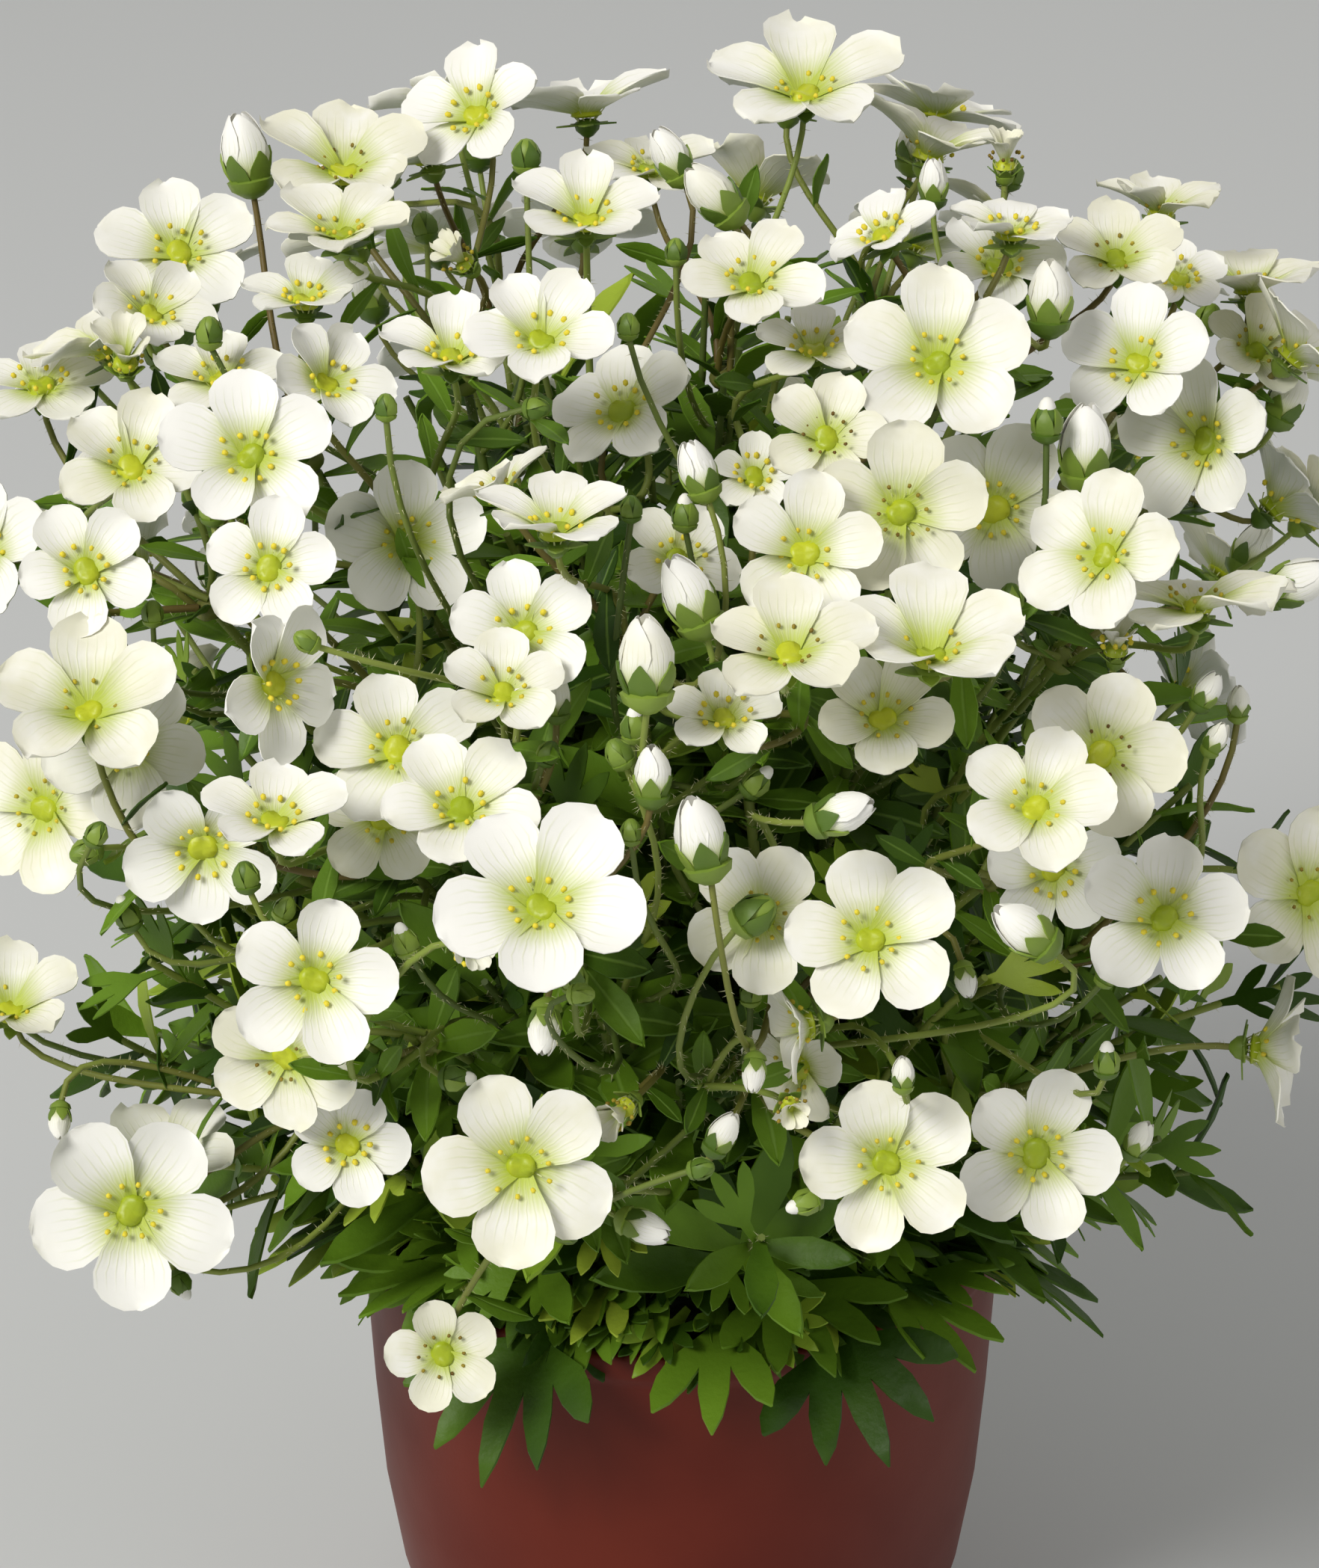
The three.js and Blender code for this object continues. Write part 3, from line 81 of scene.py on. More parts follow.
# %% [markdown]
# ## Where the blooms are
# Every bloom and bud of the front has its place in the photograph's view, listed below in
# millimetres across and up. Its depth follows the ball that the heads make, and blooms that
# overlap in the view are moved apart along the line of sight. The back has no photograph, so a
# rule places its heads. These are the same places and rules as the solids have.
# %% Blooms and buds as seen
# A bloom: across, up, width, which way it leans, how far, share of the ball's depth, which way
# one petal points, and how far the petals rise if they are still half shut. A bud: across, up,
# length, which way it points, stage (0 green, 1 white at the tip, 2 white), share of the depth.
FRONT_STEMS = [
    [
        ([(-84, 240.5, 27, 90, 30, 1, 100), (-89, 230, 21, 60, 45, 1.05, 54),
          (-63, 232, 21, 90, 60, 0.8, 90)],
         [(-73, 258, 13, 100, 2, 1), (-79, 228.5, 6, 90, 0, 1)]),
        ([(-56.5, 253.5, 30, 90, 50, 1, 90), (-57, 243, 25, 90, 60, 1, 54),
          (-34, 263.5, 25, 130, 40, 1, 90), (-36, 239, 13, 140, 50, 0.8, 90, 62)],
         [(-26, 258, 6.5, 90, 0, 1)]),
    ],
    [
        ([(-107, 218, 26, 90, 55, 1, 90), (-93, 222, 18, 90, 40, 0.9, 90, 60),
          (-92, 204.5, 25, 90, 30, 1.05, 70), (-99.5, 187.5, 23, 90, 15, 1.05, 50),
          (-116, 190, 26, 150, 25, 1, 90)],
         [(-101, 201.5, 5, 90, 0, 1.05), (-88.5, 181.5, 5, 90, 0, 1)]),
    ],
    [
        ([(-77, 219, 22, 90, 50, 0.75, 90), (-60, 218.5, 22, 45, 40, 1, 60),
          (-72, 206.5, 29, 90, 15, 1, 95), (-38.5, 222.5, 24, 90, 55, 1, 90)],
         [(-49.5, 216, 5, 90, 0, 1), (-78.5, 199, 6, 90, 0, 1)]),
        ([(-69, 188, 22, 90, 10, 1, 80), (-46, 192.5, 27, 0, 5, 0.6, 90),
          (-69, 169, 26, 0, 50, 1, 60)],
         [(-63.5, 176.5, 5, 150, 0, 1.05), (-62.5, 172.5, 5, 60, 0, 1)]),
    ],
    [
        ([(-99, 163.5, 31, 90, 30, 1.05, 90), (-93, 158, 28, 90, 20, 0.75, 60),
          (-106, 148, 28, 180, 25, 1, 75)],
         [(-97.5, 144.5, 5, 60, 0, 1), (-100.5, 140.5, 6, 200, 0, 1)]),
        ([(-80, 142, 26, 270, 20, 0.85, 120), (-68, 145, 24, 90, 50, 1.08, 90),
          (-50, 146.5, 22, 0, 5, 0.85, 84)],
         [(-73, 137.5, 6, 100, 0, 1), (-66, 132, 5, 60, 0, 1), (-93, 131, 6, 110, 1, 1)]),
    ],
    [
        ([(-47.5, 157.5, 28, 90, 25, 0.9, 100), (-37, 147, 27, 90, 35, 1.05, 120),
          (-30, 166.5, 22, 90, 35, 1, 90), (-26.5, 177, 25, 90, 15, 1, 100)],
         [(-22, 158, 5, 60, 0, 0.95), (-21, 167, 8, 90, 2, 1)]),
    ],
    [
        ([(-16, 245.5, 25, 90, 50, 1, 90), (-23.5, 225.5, 25, 90, 35, 1, 54),
          (-9.5, 214, 26, 130, 40, 0.7, 90)],
         [(-9, 229.5, 5, 90, 0, 1), (-23.5, 215, 5, 0, 0, 1.02), (-2, 257.5, 10, 120, 2, 1)]),
        ([(20.5, 266.5, 32, 90, 55, 1, 90), (-5, 254, 22, 90, 60, 0.2, 90),
          (11.5, 235, 24, 90, 40, 1, 54)],
         [(5, 251, 12, 135, 2, 1), (-1, 242, 5, 90, 0, 1)]),
    ],
    [
        ([(34, 243, 20, 120, 60, 1, 90), (22, 224, 20, 90, 50, 0.85, 90),
          (42.5, 222, 31, 90, 15, 1.05, 90), (24, 209.5, 22, 90, 20, 0.95, 70)],
         []),
    ],
    [
        ([(55, 243.5, 22, 90, 65, 1, 90), (53, 238, 22, 90, 40, 0.8, 54),
          (72.5, 239, 22, 90, 40, 1, 90), (54, 255, 13, 90, 65, 0.8, 90, 60)],
         [(42, 253, 8, 90, 2, 0.7), (61.5, 234, 12, 90, 2, 1.05)]),
        ([(83, 236, 16, 90, 40, 0.6, 90), (80, 247, 22, 90, 70, 0.1, 90),
          (95, 234, 28, 90, 80, 1, 90), (95.5, 224, 20, 60, 40, 0.7, 70),
          (76.5, 222, 25, 130, 30, 1, 80)],
         []),
    ],
    [
        ([(88, 209.5, 28, 180, 35, 1, 90), (71, 190, 27, 150, 30, 1, 70),
          (86, 181, 34, 90, 75, 1.08, 90)],
         [(67.5, 209, 14, 90, 2, 1), (103, 186, 12, 20, 2, 1), (67.5, 201, 5, 90, 0, 0.95)]),
    ],
    [
        ([(-30, 200, 20, 120, 75, 1, 90), (-21, 193.5, 26, 90, 65, 1.02, 90),
          (-1, 189, 22, 45, 30, 0.8, 60)],
         [(1, 184, 14, 115, 2, 1.05), (-8.5, 199, 5, 90, 0, 1), (0.5, 198, 6, 90, 1, 0.95),
          (2.5, 205, 10, 110, 2, 1)]),
        ([(12, 203, 15, 90, 30, 0.7, 90), (20.5, 190.5, 26, 90, 10, 1, 80),
          (18, 173, 28, 90, 45, 1.03, 90), (7, 162.5, 20, 90, 45, 1, 90)],
         [(-6, 173, 15, 92, 2, 1.05), (-8, 162.5, 6, 90, 1, 1)]),
    ],
    [
        ([(36.5, 197.5, 28.5, 0, 5, 1, 90), (52, 198, 28, 0, 5, 0.8, 60),
          (41.5, 172.5, 33, 90, 55, 1.05, 90), (33.5, 162.5, 23, 90, 30, 0.95, 54)],
         [(55, 184, 6, 90, 0, 1), (61, 213.5, 7, 90, 1, 1)]),
    ],
    [
        ([(70, 157, 29, 90, 10, 1, 67), (59, 147.5, 27, 90, 25, 1.08, 70),
          (62, 138, 22, 270, 10, 0.75, 90), (72.5, 174, 13, 90, 60, 0.85, 90, 60)],
         [(59, 162, 6, 90, 1, 0.9), (88, 168, 7, 60, 2, 0.95)]),
        ([(80.5, 129.5, 29, 90, 15, 1.02, 80), (104.5, 134, 30, 0, 10, 1, 80)],
         [(89.5, 160, 6, 60, 2, 1), (93, 166, 6, 90, 2, 0.9), (71.5, 121, 5, 60, 0, 1)]),
    ],
    [
        ([(95, 108, 27, -5, 85, 1, 90), (59, 90.5, 28, 0, 5, 1, 66)],
         [(71, 106.5, 6, 90, 1, 1.05), (76.5, 93, 7, 60, 2, 1)]),
    ],
    [
        ([(-61.5, 119.5, 29, 0, 5, 1.1, 75), (-66, 107, 25, 240, 25, 0.95, 60),
          (-56, 92, 20, 0, 5, 0.95, 68), (-37, 125.5, 13, -30, 35, 1.05, 90, 60)],
         [(-46.5, 126.5, 6, 110, 1, 1.05)]),
    ],
    [
        ([(-112, 113.5, 25, 90, 50, 1, 90), (-92, 81, 34, 0, 5, 0.9, 53),
          (-86, 87.5, 25, 90, 50, 1.05, 54)],
         [(-110, 123, 6, 60, 1, 0.4), (-104, 95.5, 6, -90, 2, 1), (-90, 74.5, 6, 150, 0, 1),
          (-83.5, 68, 5, -60, 1, 1)]),
    ],
    [
        ([(-23.5, 131, 34, 90, 25, 1.05, 55)],
         [(-23, 111, 9, -95, 2, 1.05), (-5, 154, 10, 90, 2, 1.05), (-18, 120.5, 6, 90, 0, 1.02),
          (-16, 117, 5, 0, 0, 1), (-8.5, 145, 5, 90, 0, 1.05), (-11, 158, 6, 120, 0, 1)]),
        ([(-27, 88.5, 32, 0, 5, 1.05, 43), (-40, 57, 19, 0, 5, 1.1, 33),
          (-9, 98.5, 13, 220, 50, 0.9, 90, 60)],
         [(-37, 103, 6, 0, 1, 1), (-19, 77, 6, -40, 0, 1), (-6, 78, 9, -20, 2, 1)]),
    ],
    [
        ([(13, 130, 25, 0, 5, 0.95, 60), (31.5, 126, 30, 90, 10, 1, 102)],
         [(3, 143.5, 14, 105, 2, 1.12), (27, 147.5, 11, 20, 2, 1.02), (13, 131, 9, 35, 0, 1.1),
          (13, 153, 6, 45, 1, 0.8), (11.5, 118, 5, 90, 0, 0.9)]),
        ([(22, 112, 20, 190, 80, 0.95, 90), (20, 105, 20, 200, 50, 0.8, 90),
          (34, 89, 29, 0, 5, 1.05, 33), (18, 98.5, 9, -60, 20, 1.02, 90, 60)],
         [(12, 103.5, 6.5, -95, 2, 1.05), (7, 94, 8, 60, 2, 1.02), (4, 88, 5, 10, 0, 1),
          (20, 82, 6, 200, 1, 1), (37, 104, 6, 90, 2, 0.95), (47.5, 119, 6, -80, 2, 1.02),
          (57, 128, 12, 145, 2, 1)]),
    ],
]
print("front stems:", len(FRONT_STEMS))

# %% Measures of the plant
BALL_HEIGHT, BALL_RADIUS, BALL_RISE = 182.0, 115.0, 101.0
BACK_ROWS = [(36, 2, 52, 72), (64, 4, 20, 47), (93, 3, 36, 54)]
BACK_SPAN = 25
BACK_BUDS = 2
POT_HEIGHT = 90.0
DEPTH_PER_SHARE = 12
PETAL_RISE, PETAL_RISE_SPREAD = 18, 9
CALYX_DEPTH = 4.2
STEM_RADIUS, PEDICEL_RADIUS = 1.6, 0.85
STEM_STEPS, BLOOM_STEPS, BUD_STEPS = 5, 2, 1
BUD_SHIFTS = (0, 2.5, -2.5, 5, -5, 8, -8, 12, -12)
BUD_LEAN, BUD_WIDTH = 74, 0.42
FIRST_BUD, BUD_STEP = 0.91, 0.06
CUP_FLATTENING = 1.08
BRANCH_POINT = 0.45
ROOT_DEPTH, ROOT_SPREAD = 66, 37
HEAD_REACH, HEAD_CENTRE = 34, 112
KNOT_GAP, KNOT_LENGTH, KNOT_SEAT, KNOT_EDGE = 0.7, 3.6, 0.5, 1.7
LEAST_RING, RING_PER_PEDICEL = 1.1, 0.36
GOLDEN = math.pi * (3 - math.sqrt(5))


def draw(item, use):
    """A repeatable draw from 0 to 1 for one use of one numbered piece."""
    wave = math.sin(item * 12.9898 + use * 78.233) * 43758.5453
    return wave - math.floor(wave)


def unit(vector):
    return vector / np.linalg.norm(vector)


def turned(vector, axis, angle):
    """The vector turned round a unit axis."""
    return (vector * math.cos(angle) + np.cross(axis, vector) * math.sin(angle)
            + axis * axis.dot(vector) * (1 - math.cos(angle)))


def sideways(direction, angle):
    """A unit vector square to the given one, turned round it by an angle."""
    side = unit(np.cross(SKY if abs(direction[2]) < 0.9 else RIGHT, direction))
    return turned(side, direction, angle)


print("a draw:", round(draw(1, 1), 4))


# %% Lines of sight
def line_of_sight(across, up):
    offset = RIGHT * (across - VIEW_ACROSS) + UP * (up - VIEW_UP)
    return VIEW_CENTRE + offset, TOWARD - offset / VIEW_DISTANCE


def seen_depth(across, up, share):
    """How far along its line of sight a piece at a share of the ball's depth lies."""
    start, step = line_of_sight(across, up)
    radii = np.array([BALL_RADIUS, BALL_RADIUS, BALL_RISE])
    origin, pace = (start - SKY * BALL_HEIGHT) / radii, step / radii
    half, square = origin.dot(pace), pace.dot(pace)
    root = math.sqrt(max(0, half * half - square * (origin.dot(origin) - 1)))
    return (share * root - half) / square + DEPTH_PER_SHARE * (share - 1)


def seen_point(across, up, depth):
    start, step = line_of_sight(across, up)
    return start + step * depth


def seen_size(size, depth):
    return size * (VIEW_DISTANCE - depth) / VIEW_DISTANCE


def seen_direction(angle, lean):
    way, off = math.radians(angle), math.radians(lean)
    return (TOWARD * math.cos(off) + RIGHT * math.sin(off) * math.cos(way)
            + UP * math.sin(off) * math.sin(way))


def read_bloom(item, across, up, width, lean_to, lean, share, spin, rise=None):
    drawn = PETAL_RISE + PETAL_RISE_SPREAD * (draw(item, 1) - 0.5) * 2
    return {"item": item, "across": across, "up": up, "width": width, "spin": spin,
            "steps": BLOOM_STEPS, "normal": seen_direction(lean_to, lean),
            "rise": drawn if rise is None else rise, "depth": seen_depth(across, up, share)}


def read_bud(item, across, up, length, points_to, stage, share):
    depth = seen_depth(across, up, share)
    size, axis = seen_size(length, depth), seen_direction(points_to, BUD_LEAN)
    sight = unit(line_of_sight(across, up)[1])
    base = seen_point(across, up, depth) - axis * size / 2
    return {"item": item, "stage": stage, "axis": axis, "length": size, "steps": BUD_STEPS,
            "places": [base + sight * shift for shift in BUD_SHIFTS]}


stems = []
bloom_count = 0
for heads in FRONT_STEMS:
    stem = {"heads": []}
    for blooms, buds in heads:
        head = {"blooms": [], "buds": []}
        for row in blooms:
            head["blooms"].append(read_bloom(bloom_count, *row))
            bloom_count += 1
        for row in buds:
            head["buds"].append(read_bud(bloom_count, *row))
            bloom_count += 1
        stem["heads"].append(head)
    stems.append(stem)
front_blooms = [bloom for stem in stems for head in stem["heads"] for bloom in head["blooms"]]
print("front blooms:", len(front_blooms), "with buds:", bloom_count)

# %% Front blooms moved apart
SETTLE_ROUNDS, NEAR_ROOM, ROOM_PER_OVERLAP, MOST_ROOM = 24, 3, 0.32, 10
overlapping = []
for i, one in enumerate(front_blooms):
    for other in front_blooms[i + 1:]:
        apart = math.hypot(one["across"] - other["across"], one["up"] - other["up"])
        overlap = (one["width"] + other["width"]) / 2 - apart
        if overlap > 0:
            overlapping.append((one, other, min(MOST_ROOM, NEAR_ROOM + ROOM_PER_OVERLAP * overlap)))
for _ in range(SETTLE_ROUNDS):
    for one, other, room in overlapping:
        way = 1 if one["depth"] >= other["depth"] else -1
        short = room - way * (one["depth"] - other["depth"])
        if short > 0:
            one["depth"] += way * short / 4
            other["depth"] -= way * short / 4
for bloom in front_blooms:
    bloom["centre"] = seen_point(bloom["across"], bloom["up"], bloom["depth"])
    bloom["radius"] = seen_size(bloom["width"], bloom["depth"]) / 2
    bloom["push"] = unit(line_of_sight(bloom["across"], bloom["up"])[1])
print("pairs that overlap in the view:", len(overlapping))


# %% Heads of the back
def on_ball(from_top, round_way, share=1.0):
    down, turn = math.radians(from_top), math.radians(round_way)
    out = math.sin(down) * BALL_RADIUS * share
    return np.array([out * math.cos(turn), out * math.sin(turn),
                     BALL_HEIGHT + math.cos(down) * BALL_RISE * share])


def back_head(from_top, round_way, item):
    """A bloom in the middle with three round it, and places for two buds between them."""
    tilt_share = math.sin(math.radians(from_top))
    blooms, buds = [], []
    for k in range(4):
        turn = math.radians(90 + 120 * k + 30 * (draw(item, 2) - 0.5))
        span = 0 if k == 0 else BACK_SPAN * (0.9 + 0.3 * draw(item, 3))
        centre = on_ball(from_top + span * math.sin(turn) / 1.9,
                         round_way + span * math.cos(turn) / (1.9 * tilt_share),
                         1.03 if k == 0 else 0.96 + 0.05 * draw(item, 4))
        outward = unit(centre - SKY * (HEAD_CENTRE + 50))
        blooms.append({
            "item": item, "centre": centre, "steps": BLOOM_STEPS, "push": outward,
            "normal": unit(outward + SKY * (0.15 + 0.5 * draw(item, 5))),
            "radius": 12 + 2.6 * draw(item, 6), "spin": 360 * draw(item, 7),
            "rise": PETAL_RISE + PETAL_RISE_SPREAD * (draw(item, 1) - 0.5) * 2})
        item += 1
    axis = unit(unit(on_ball(from_top, round_way) - SKY * HEAD_CENTRE) + SKY * 0.6)
    for k in range(BACK_BUDS):
        turns = [math.radians(30 * (place * 5 + 6 * k)) for place in range(12)]
        places = [on_ball(from_top + 8 * math.sin(turn),
                          round_way + 8 * math.cos(turn) / tilt_share, 0.97) for turn in turns]
        buds.append({"item": item, "stage": 2 - 2 * k, "axis": axis, "length": 10 - 4 * k,
                     "steps": BUD_STEPS, "places": places})
        item += 1
    return {"blooms": blooms, "buds": buds}


back_heads = []
for from_top, heads, first, step in BACK_ROWS:
    for k in range(heads):
        back_heads.append(back_head(from_top, first + step * k, bloom_count))
        bloom_count += 4 + BACK_BUDS
for k in range(0, len(back_heads), 2):
    stems.append({"heads": back_heads[k:k + 2]})
all_heads = [head for stem in stems for head in stem["heads"]]
all_blooms = [bloom for head in all_heads for bloom in head["blooms"]]
all_buds = [bud for head in all_heads for bud in head["buds"]]
print("stems:", len(stems), "heads:", len(all_heads), "blooms:", len(all_blooms))

# %% [markdown]
# ## Petals that don't meet
# The petals of each bloom make a shallow cup. Points all over one cup are measured against its
# neighbour's, and where they come too near, both blooms move a little, round after round.
# %% Cups kept apart
CUP_ROOM, CUP_PUSH, CUP_ROUNDS, CUP_SIDES = 0.8, 0.7, 30, 14
CUP_RINGS = (0.35, 0.7, 1)
for bloom in all_blooms:
    bloom["slope"] = math.radians(bloom["rise"])
    bloom["reach"] = bloom["radius"] * min(1, math.cos(bloom["slope"]) * CUP_FLATTENING)
    x, y = sideways(bloom["normal"], 0), sideways(bloom["normal"], math.pi / 2)
    points = [-bloom["normal"] * CALYX_DEPTH * 0.8]
    for share in CUP_RINGS:
        out = share * bloom["reach"]
        for k in range(CUP_SIDES):
            turn = 2 * math.pi * k / CUP_SIDES
            points.append(bloom["normal"] * out * math.tan(bloom["slope"])
                          + x * out * math.cos(turn) + y * out * math.sin(turn))
    bloom["cup"] = np.array(points)


def cup_reaches(one, other):
    offset = one["cup"] + one["centre"] - other["centre"]
    height = offset @ other["normal"]
    out = np.sqrt(np.maximum(0, (offset ** 2).sum(1) - height ** 2))
    above = (height - out * math.tan(other["slope"])) * math.cos(other["slope"])
    above = above[out <= other["reach"] + CUP_ROOM]
    if not len(above):
        return False
    return np.abs(above).min() < CUP_ROOM or (above.min() < 0 < above.max())


for _ in range(CUP_ROUNDS):
    for i, one in enumerate(all_blooms):
        for other in all_blooms[i + 1:]:
            between = one["centre"] - other["centre"]
            if between.dot(between) > (one["radius"] + other["radius"] + CUP_ROOM) ** 2:
                continue
            if cup_reaches(one, other) or cup_reaches(other, one):
                way = 1 if between.dot(one["push"]) >= 0 else -1
                one["centre"] = one["centre"] + one["push"] * way * CUP_PUSH
                other["centre"] = other["centre"] - other["push"] * way * CUP_PUSH
print("highest bloom:", round(max(bloom["centre"][2] for bloom in all_blooms), 1), "mm")

# %% Room from petals
PETAL_ROOM, BUD_ROOM = 0.6, 0.8
CENTRES = np.array([bloom["centre"] for bloom in all_blooms])
NORMALS = np.array([bloom["normal"] for bloom in all_blooms])
SLOPES = np.array([bloom["slope"] for bloom in all_blooms])
REACHES = np.array([bloom["reach"] for bloom in all_blooms])


def room_from_petals(points, which=slice(None)):
    """How far each point is from each chosen bloom's petals and the heart below them."""
    offset = points[:, None, :] - CENTRES[which][None]
    height = (offset * NORMALS[which][None]).sum(2)
    out = np.sqrt(np.maximum(0, (offset ** 2).sum(2) - height ** 2))
    above = (height - out * np.tan(SLOPES[which])) * np.cos(SLOPES[which])
    inside = np.abs(above) - PETAL_ROOM - np.maximum(0, CALYX_DEPTH - out) * 0.7
    return np.where(out > REACHES[which] + 1, out - REACHES[which], inside)


settled = []
for bud in all_buds:
    width = bud["length"] * BUD_WIDTH
    rooms = []
    for base in bud["places"]:
        points = np.array([base + bud["axis"] * bud["length"] * share for share in (0.1, 0.4, 0.8)])
        room = room_from_petals(points).min() - width
        for other in settled:
            apart = np.linalg.norm(base - other["base"])
            room = min(room, apart - width - other["length"] * BUD_WIDTH)
        rooms.append(room)
    clear = [k for k, room in enumerate(rooms) if room > BUD_ROOM]
    bud["base"] = bud["places"][clear[0] if clear else int(np.argmax(rooms))]
    settled.append(bud)
print("buds settled:", len(settled))


# %% [markdown]
# ## Stems and pedicels
# A stem rises from the soil to the fork of its head, where a small knot bears a ring of
# pedicels, one for each bloom. Each path is one Bézier curve, like one drawn with two handles,
# and it is bent sideways until it passes clear of the other stalks and of all petals.
# %% Curves
class Path:
    """One Bézier curve in space, which can be read evenly along its length."""

    def __init__(self, *corners):
        self.corners = np.array(corners)
        self.ts = np.linspace(0, 1, 201)
        self.lengths = np.concatenate([[0], np.cumsum(np.linalg.norm(
            np.diff(self.at(self.ts), axis=0), axis=1))])

    def at(self, t):
        t = np.atleast_1d(t)[:, None]
        a, b, c, d = self.corners
        return a * (1 - t) ** 3 + 3 * b * t * (1 - t) ** 2 + 3 * c * t ** 2 * (1 - t) + d * t ** 3

    def way(self, t):
        a, b, c, d = self.corners
        return unit((b - a) * (1 - t) ** 2 + 2 * (c - b) * t * (1 - t) + (d - c) * t ** 2)

    def spaced(self, steps):
        even = np.linspace(0, 1, steps + 1) * self.lengths[-1]
        return self.at(np.interp(even, self.lengths, self.ts))


PATH_STEP, TUBE_ROOM = 2.5, 0.9
BENDS, BEND_TURNS, HANDLE = (0, 4, 8, 13, 19), 8, 0.35
tube_points, tube_owners, tube_radii = [], [], []


def path_points(path, steps):
    corners = path.spaced(steps)
    points = [corners[:1]]
    for start, end in zip(corners, corners[1:]):
        count = max(1, math.ceil(np.linalg.norm(end - start) / PATH_STEP))
        points.append(start + (end - start) * (np.arange(1, count + 1) / count)[:, None])
    return np.concatenate(points)


def add_tube(owner, points, radius):
    tube_points.append(points)
    tube_owners.append(np.full(len(points), owner))
    tube_radii.append(np.full(len(points), radius))


def room_round(points, radius, own_bloom, others, radii):
    reach = np.linalg.norm(points[-1] - points[0])
    near = np.linalg.norm(CENTRES - points[0], axis=1) <= reach + 40
    if own_bloom is not None:
        near[own_bloom] = False
    room = room_from_petals(points, near).min() - radius if near.any() else math.inf
    if len(others):
        gaps = np.sqrt(((points[:, None, :] - others[None]) ** 2).sum(2)) - radii[None]
        room = min(room, gaps.min() - radius)
    return room


def clear_path(start, leaving, end, arriving, radius, steps, owner, own_bloom=None):
    """The least bent path that is clear of the other nodes' stalks and of the petals."""
    span, forward = np.linalg.norm(end - start), unit(end - start)
    others, radii = np.zeros((0, 3)), np.zeros(0)
    if tube_points:
        apart = np.concatenate(tube_owners) != owner
        others = np.concatenate(tube_points)[apart]
        radii = np.concatenate(tube_radii)[apart]
    best = None
    for bend in BENDS:
        for turn in range(BEND_TURNS if bend else 1):
            shift = sideways(forward, turn * math.pi / 4) * bend
            path = Path(start, start + leaving * span * HANDLE + shift * 1.5,
                        end - arriving * span * HANDLE + shift * 0.3, end)
            points = path_points(path, max(2, steps) if bend else steps)
            room = room_round(points, radius, own_bloom, others, radii)
            if best is None or room > best[0]:
                best = (room, path, points)
            if room > TUBE_ROOM:
                break
        if best[0] > TUBE_ROOM:
            break
    add_tube(owner, best[2], radius)
    return best[1]


print("path step:", PATH_STEP, "mm")

# %% Forks and roots
FORK_ROOM = 4.5


def clear_fork(middle, outward):
    best = None
    for aside in (0, 5, 10):
        for reach in (HEAD_REACH, HEAD_REACH - 5, HEAD_REACH + 5):
            for turn in range(8 if aside else 1):
                fork = middle - outward * reach + sideways(outward, turn * math.pi / 4) * aside
                room = room_from_petals((fork + outward * KNOT_LENGTH / 2)[None]).min()
                if best is None or room > best[0]:
                    best = (room, fork)
                if room > FORK_ROOM:
                    return fork
    return best[1]


for number, head in enumerate(all_heads):
    head["name"] = f"head_{number + 1:02d}"
    head["middle"] = np.mean([bloom["centre"] for bloom in head["blooms"]], axis=0)
    head["outward"] = unit(head["middle"] - SKY * HEAD_CENTRE)
    head["fork"] = clear_fork(head["middle"], head["outward"])
for number, stem in enumerate(stems):
    stem["name"] = f"stem_{number + 1:02d}"
    lean = unit(np.mean([head["middle"] for head in stem["heads"]], axis=0) - SKY * POT_HEIGHT)
    reach = ROOT_SPREAD * min(1, math.acos(lean[2]) / (math.pi / 2))
    turn = math.atan2(lean[1], lean[0])
    stem["root"] = np.array([reach * math.cos(turn), reach * math.sin(turn), ROOT_DEPTH])
print("first root:", stems[0]["root"].round(1))


# %% Stems that branch
def slanted(tangent, start, end):
    """The way a branch leaves a stem: along it and to the side where it goes."""
    aside = end - start
    aside = unit(aside - tangent * aside.dot(tangent))
    return unit(tangent * 0.55 + aside * 0.83)


for stem in stems:
    stem["paths"] = []
    for head in stem["heads"]:
        end = head["fork"] - head["outward"] * KNOT_GAP
        start, leaving = stem["root"], SKY
        if stem["paths"]:
            first = stem["paths"][0]
            start = first.at(BRANCH_POINT)[0]
            leaving = slanted(first.way(BRANCH_POINT), start, end)
        stem["paths"].append(clear_path(start, leaving, end, head["outward"], STEM_RADIUS,
                                        STEM_STEPS, stem["name"]))


def set_starts(head):
    """Pedicels rise from the knot in a ring, in the order of where they go."""
    x, y = sideways(head["outward"], 0), sideways(head["outward"], math.pi / 2)
    pieces = head["raised"]

    def turn_of(piece):
        aside = piece["base"] - head["fork"]
        return math.atan2(aside.dot(y), aside.dot(x))

    ordered = sorted(pieces, key=turn_of)
    share = 2 * math.pi / len(ordered)
    offset = sum(turn_of(piece) - share * k for k, piece in enumerate(ordered)) / len(ordered)
    head["ring"] = max(LEAST_RING, RING_PER_PEDICEL * len(ordered)) if len(ordered) > 1 else 0
    for k, piece in enumerate(ordered):
        turn = offset + share * k
        piece["start"] = (head["fork"] + head["outward"] * (KNOT_LENGTH - KNOT_SEAT)
                          + x * head["ring"] * math.cos(turn) + y * head["ring"] * math.sin(turn))


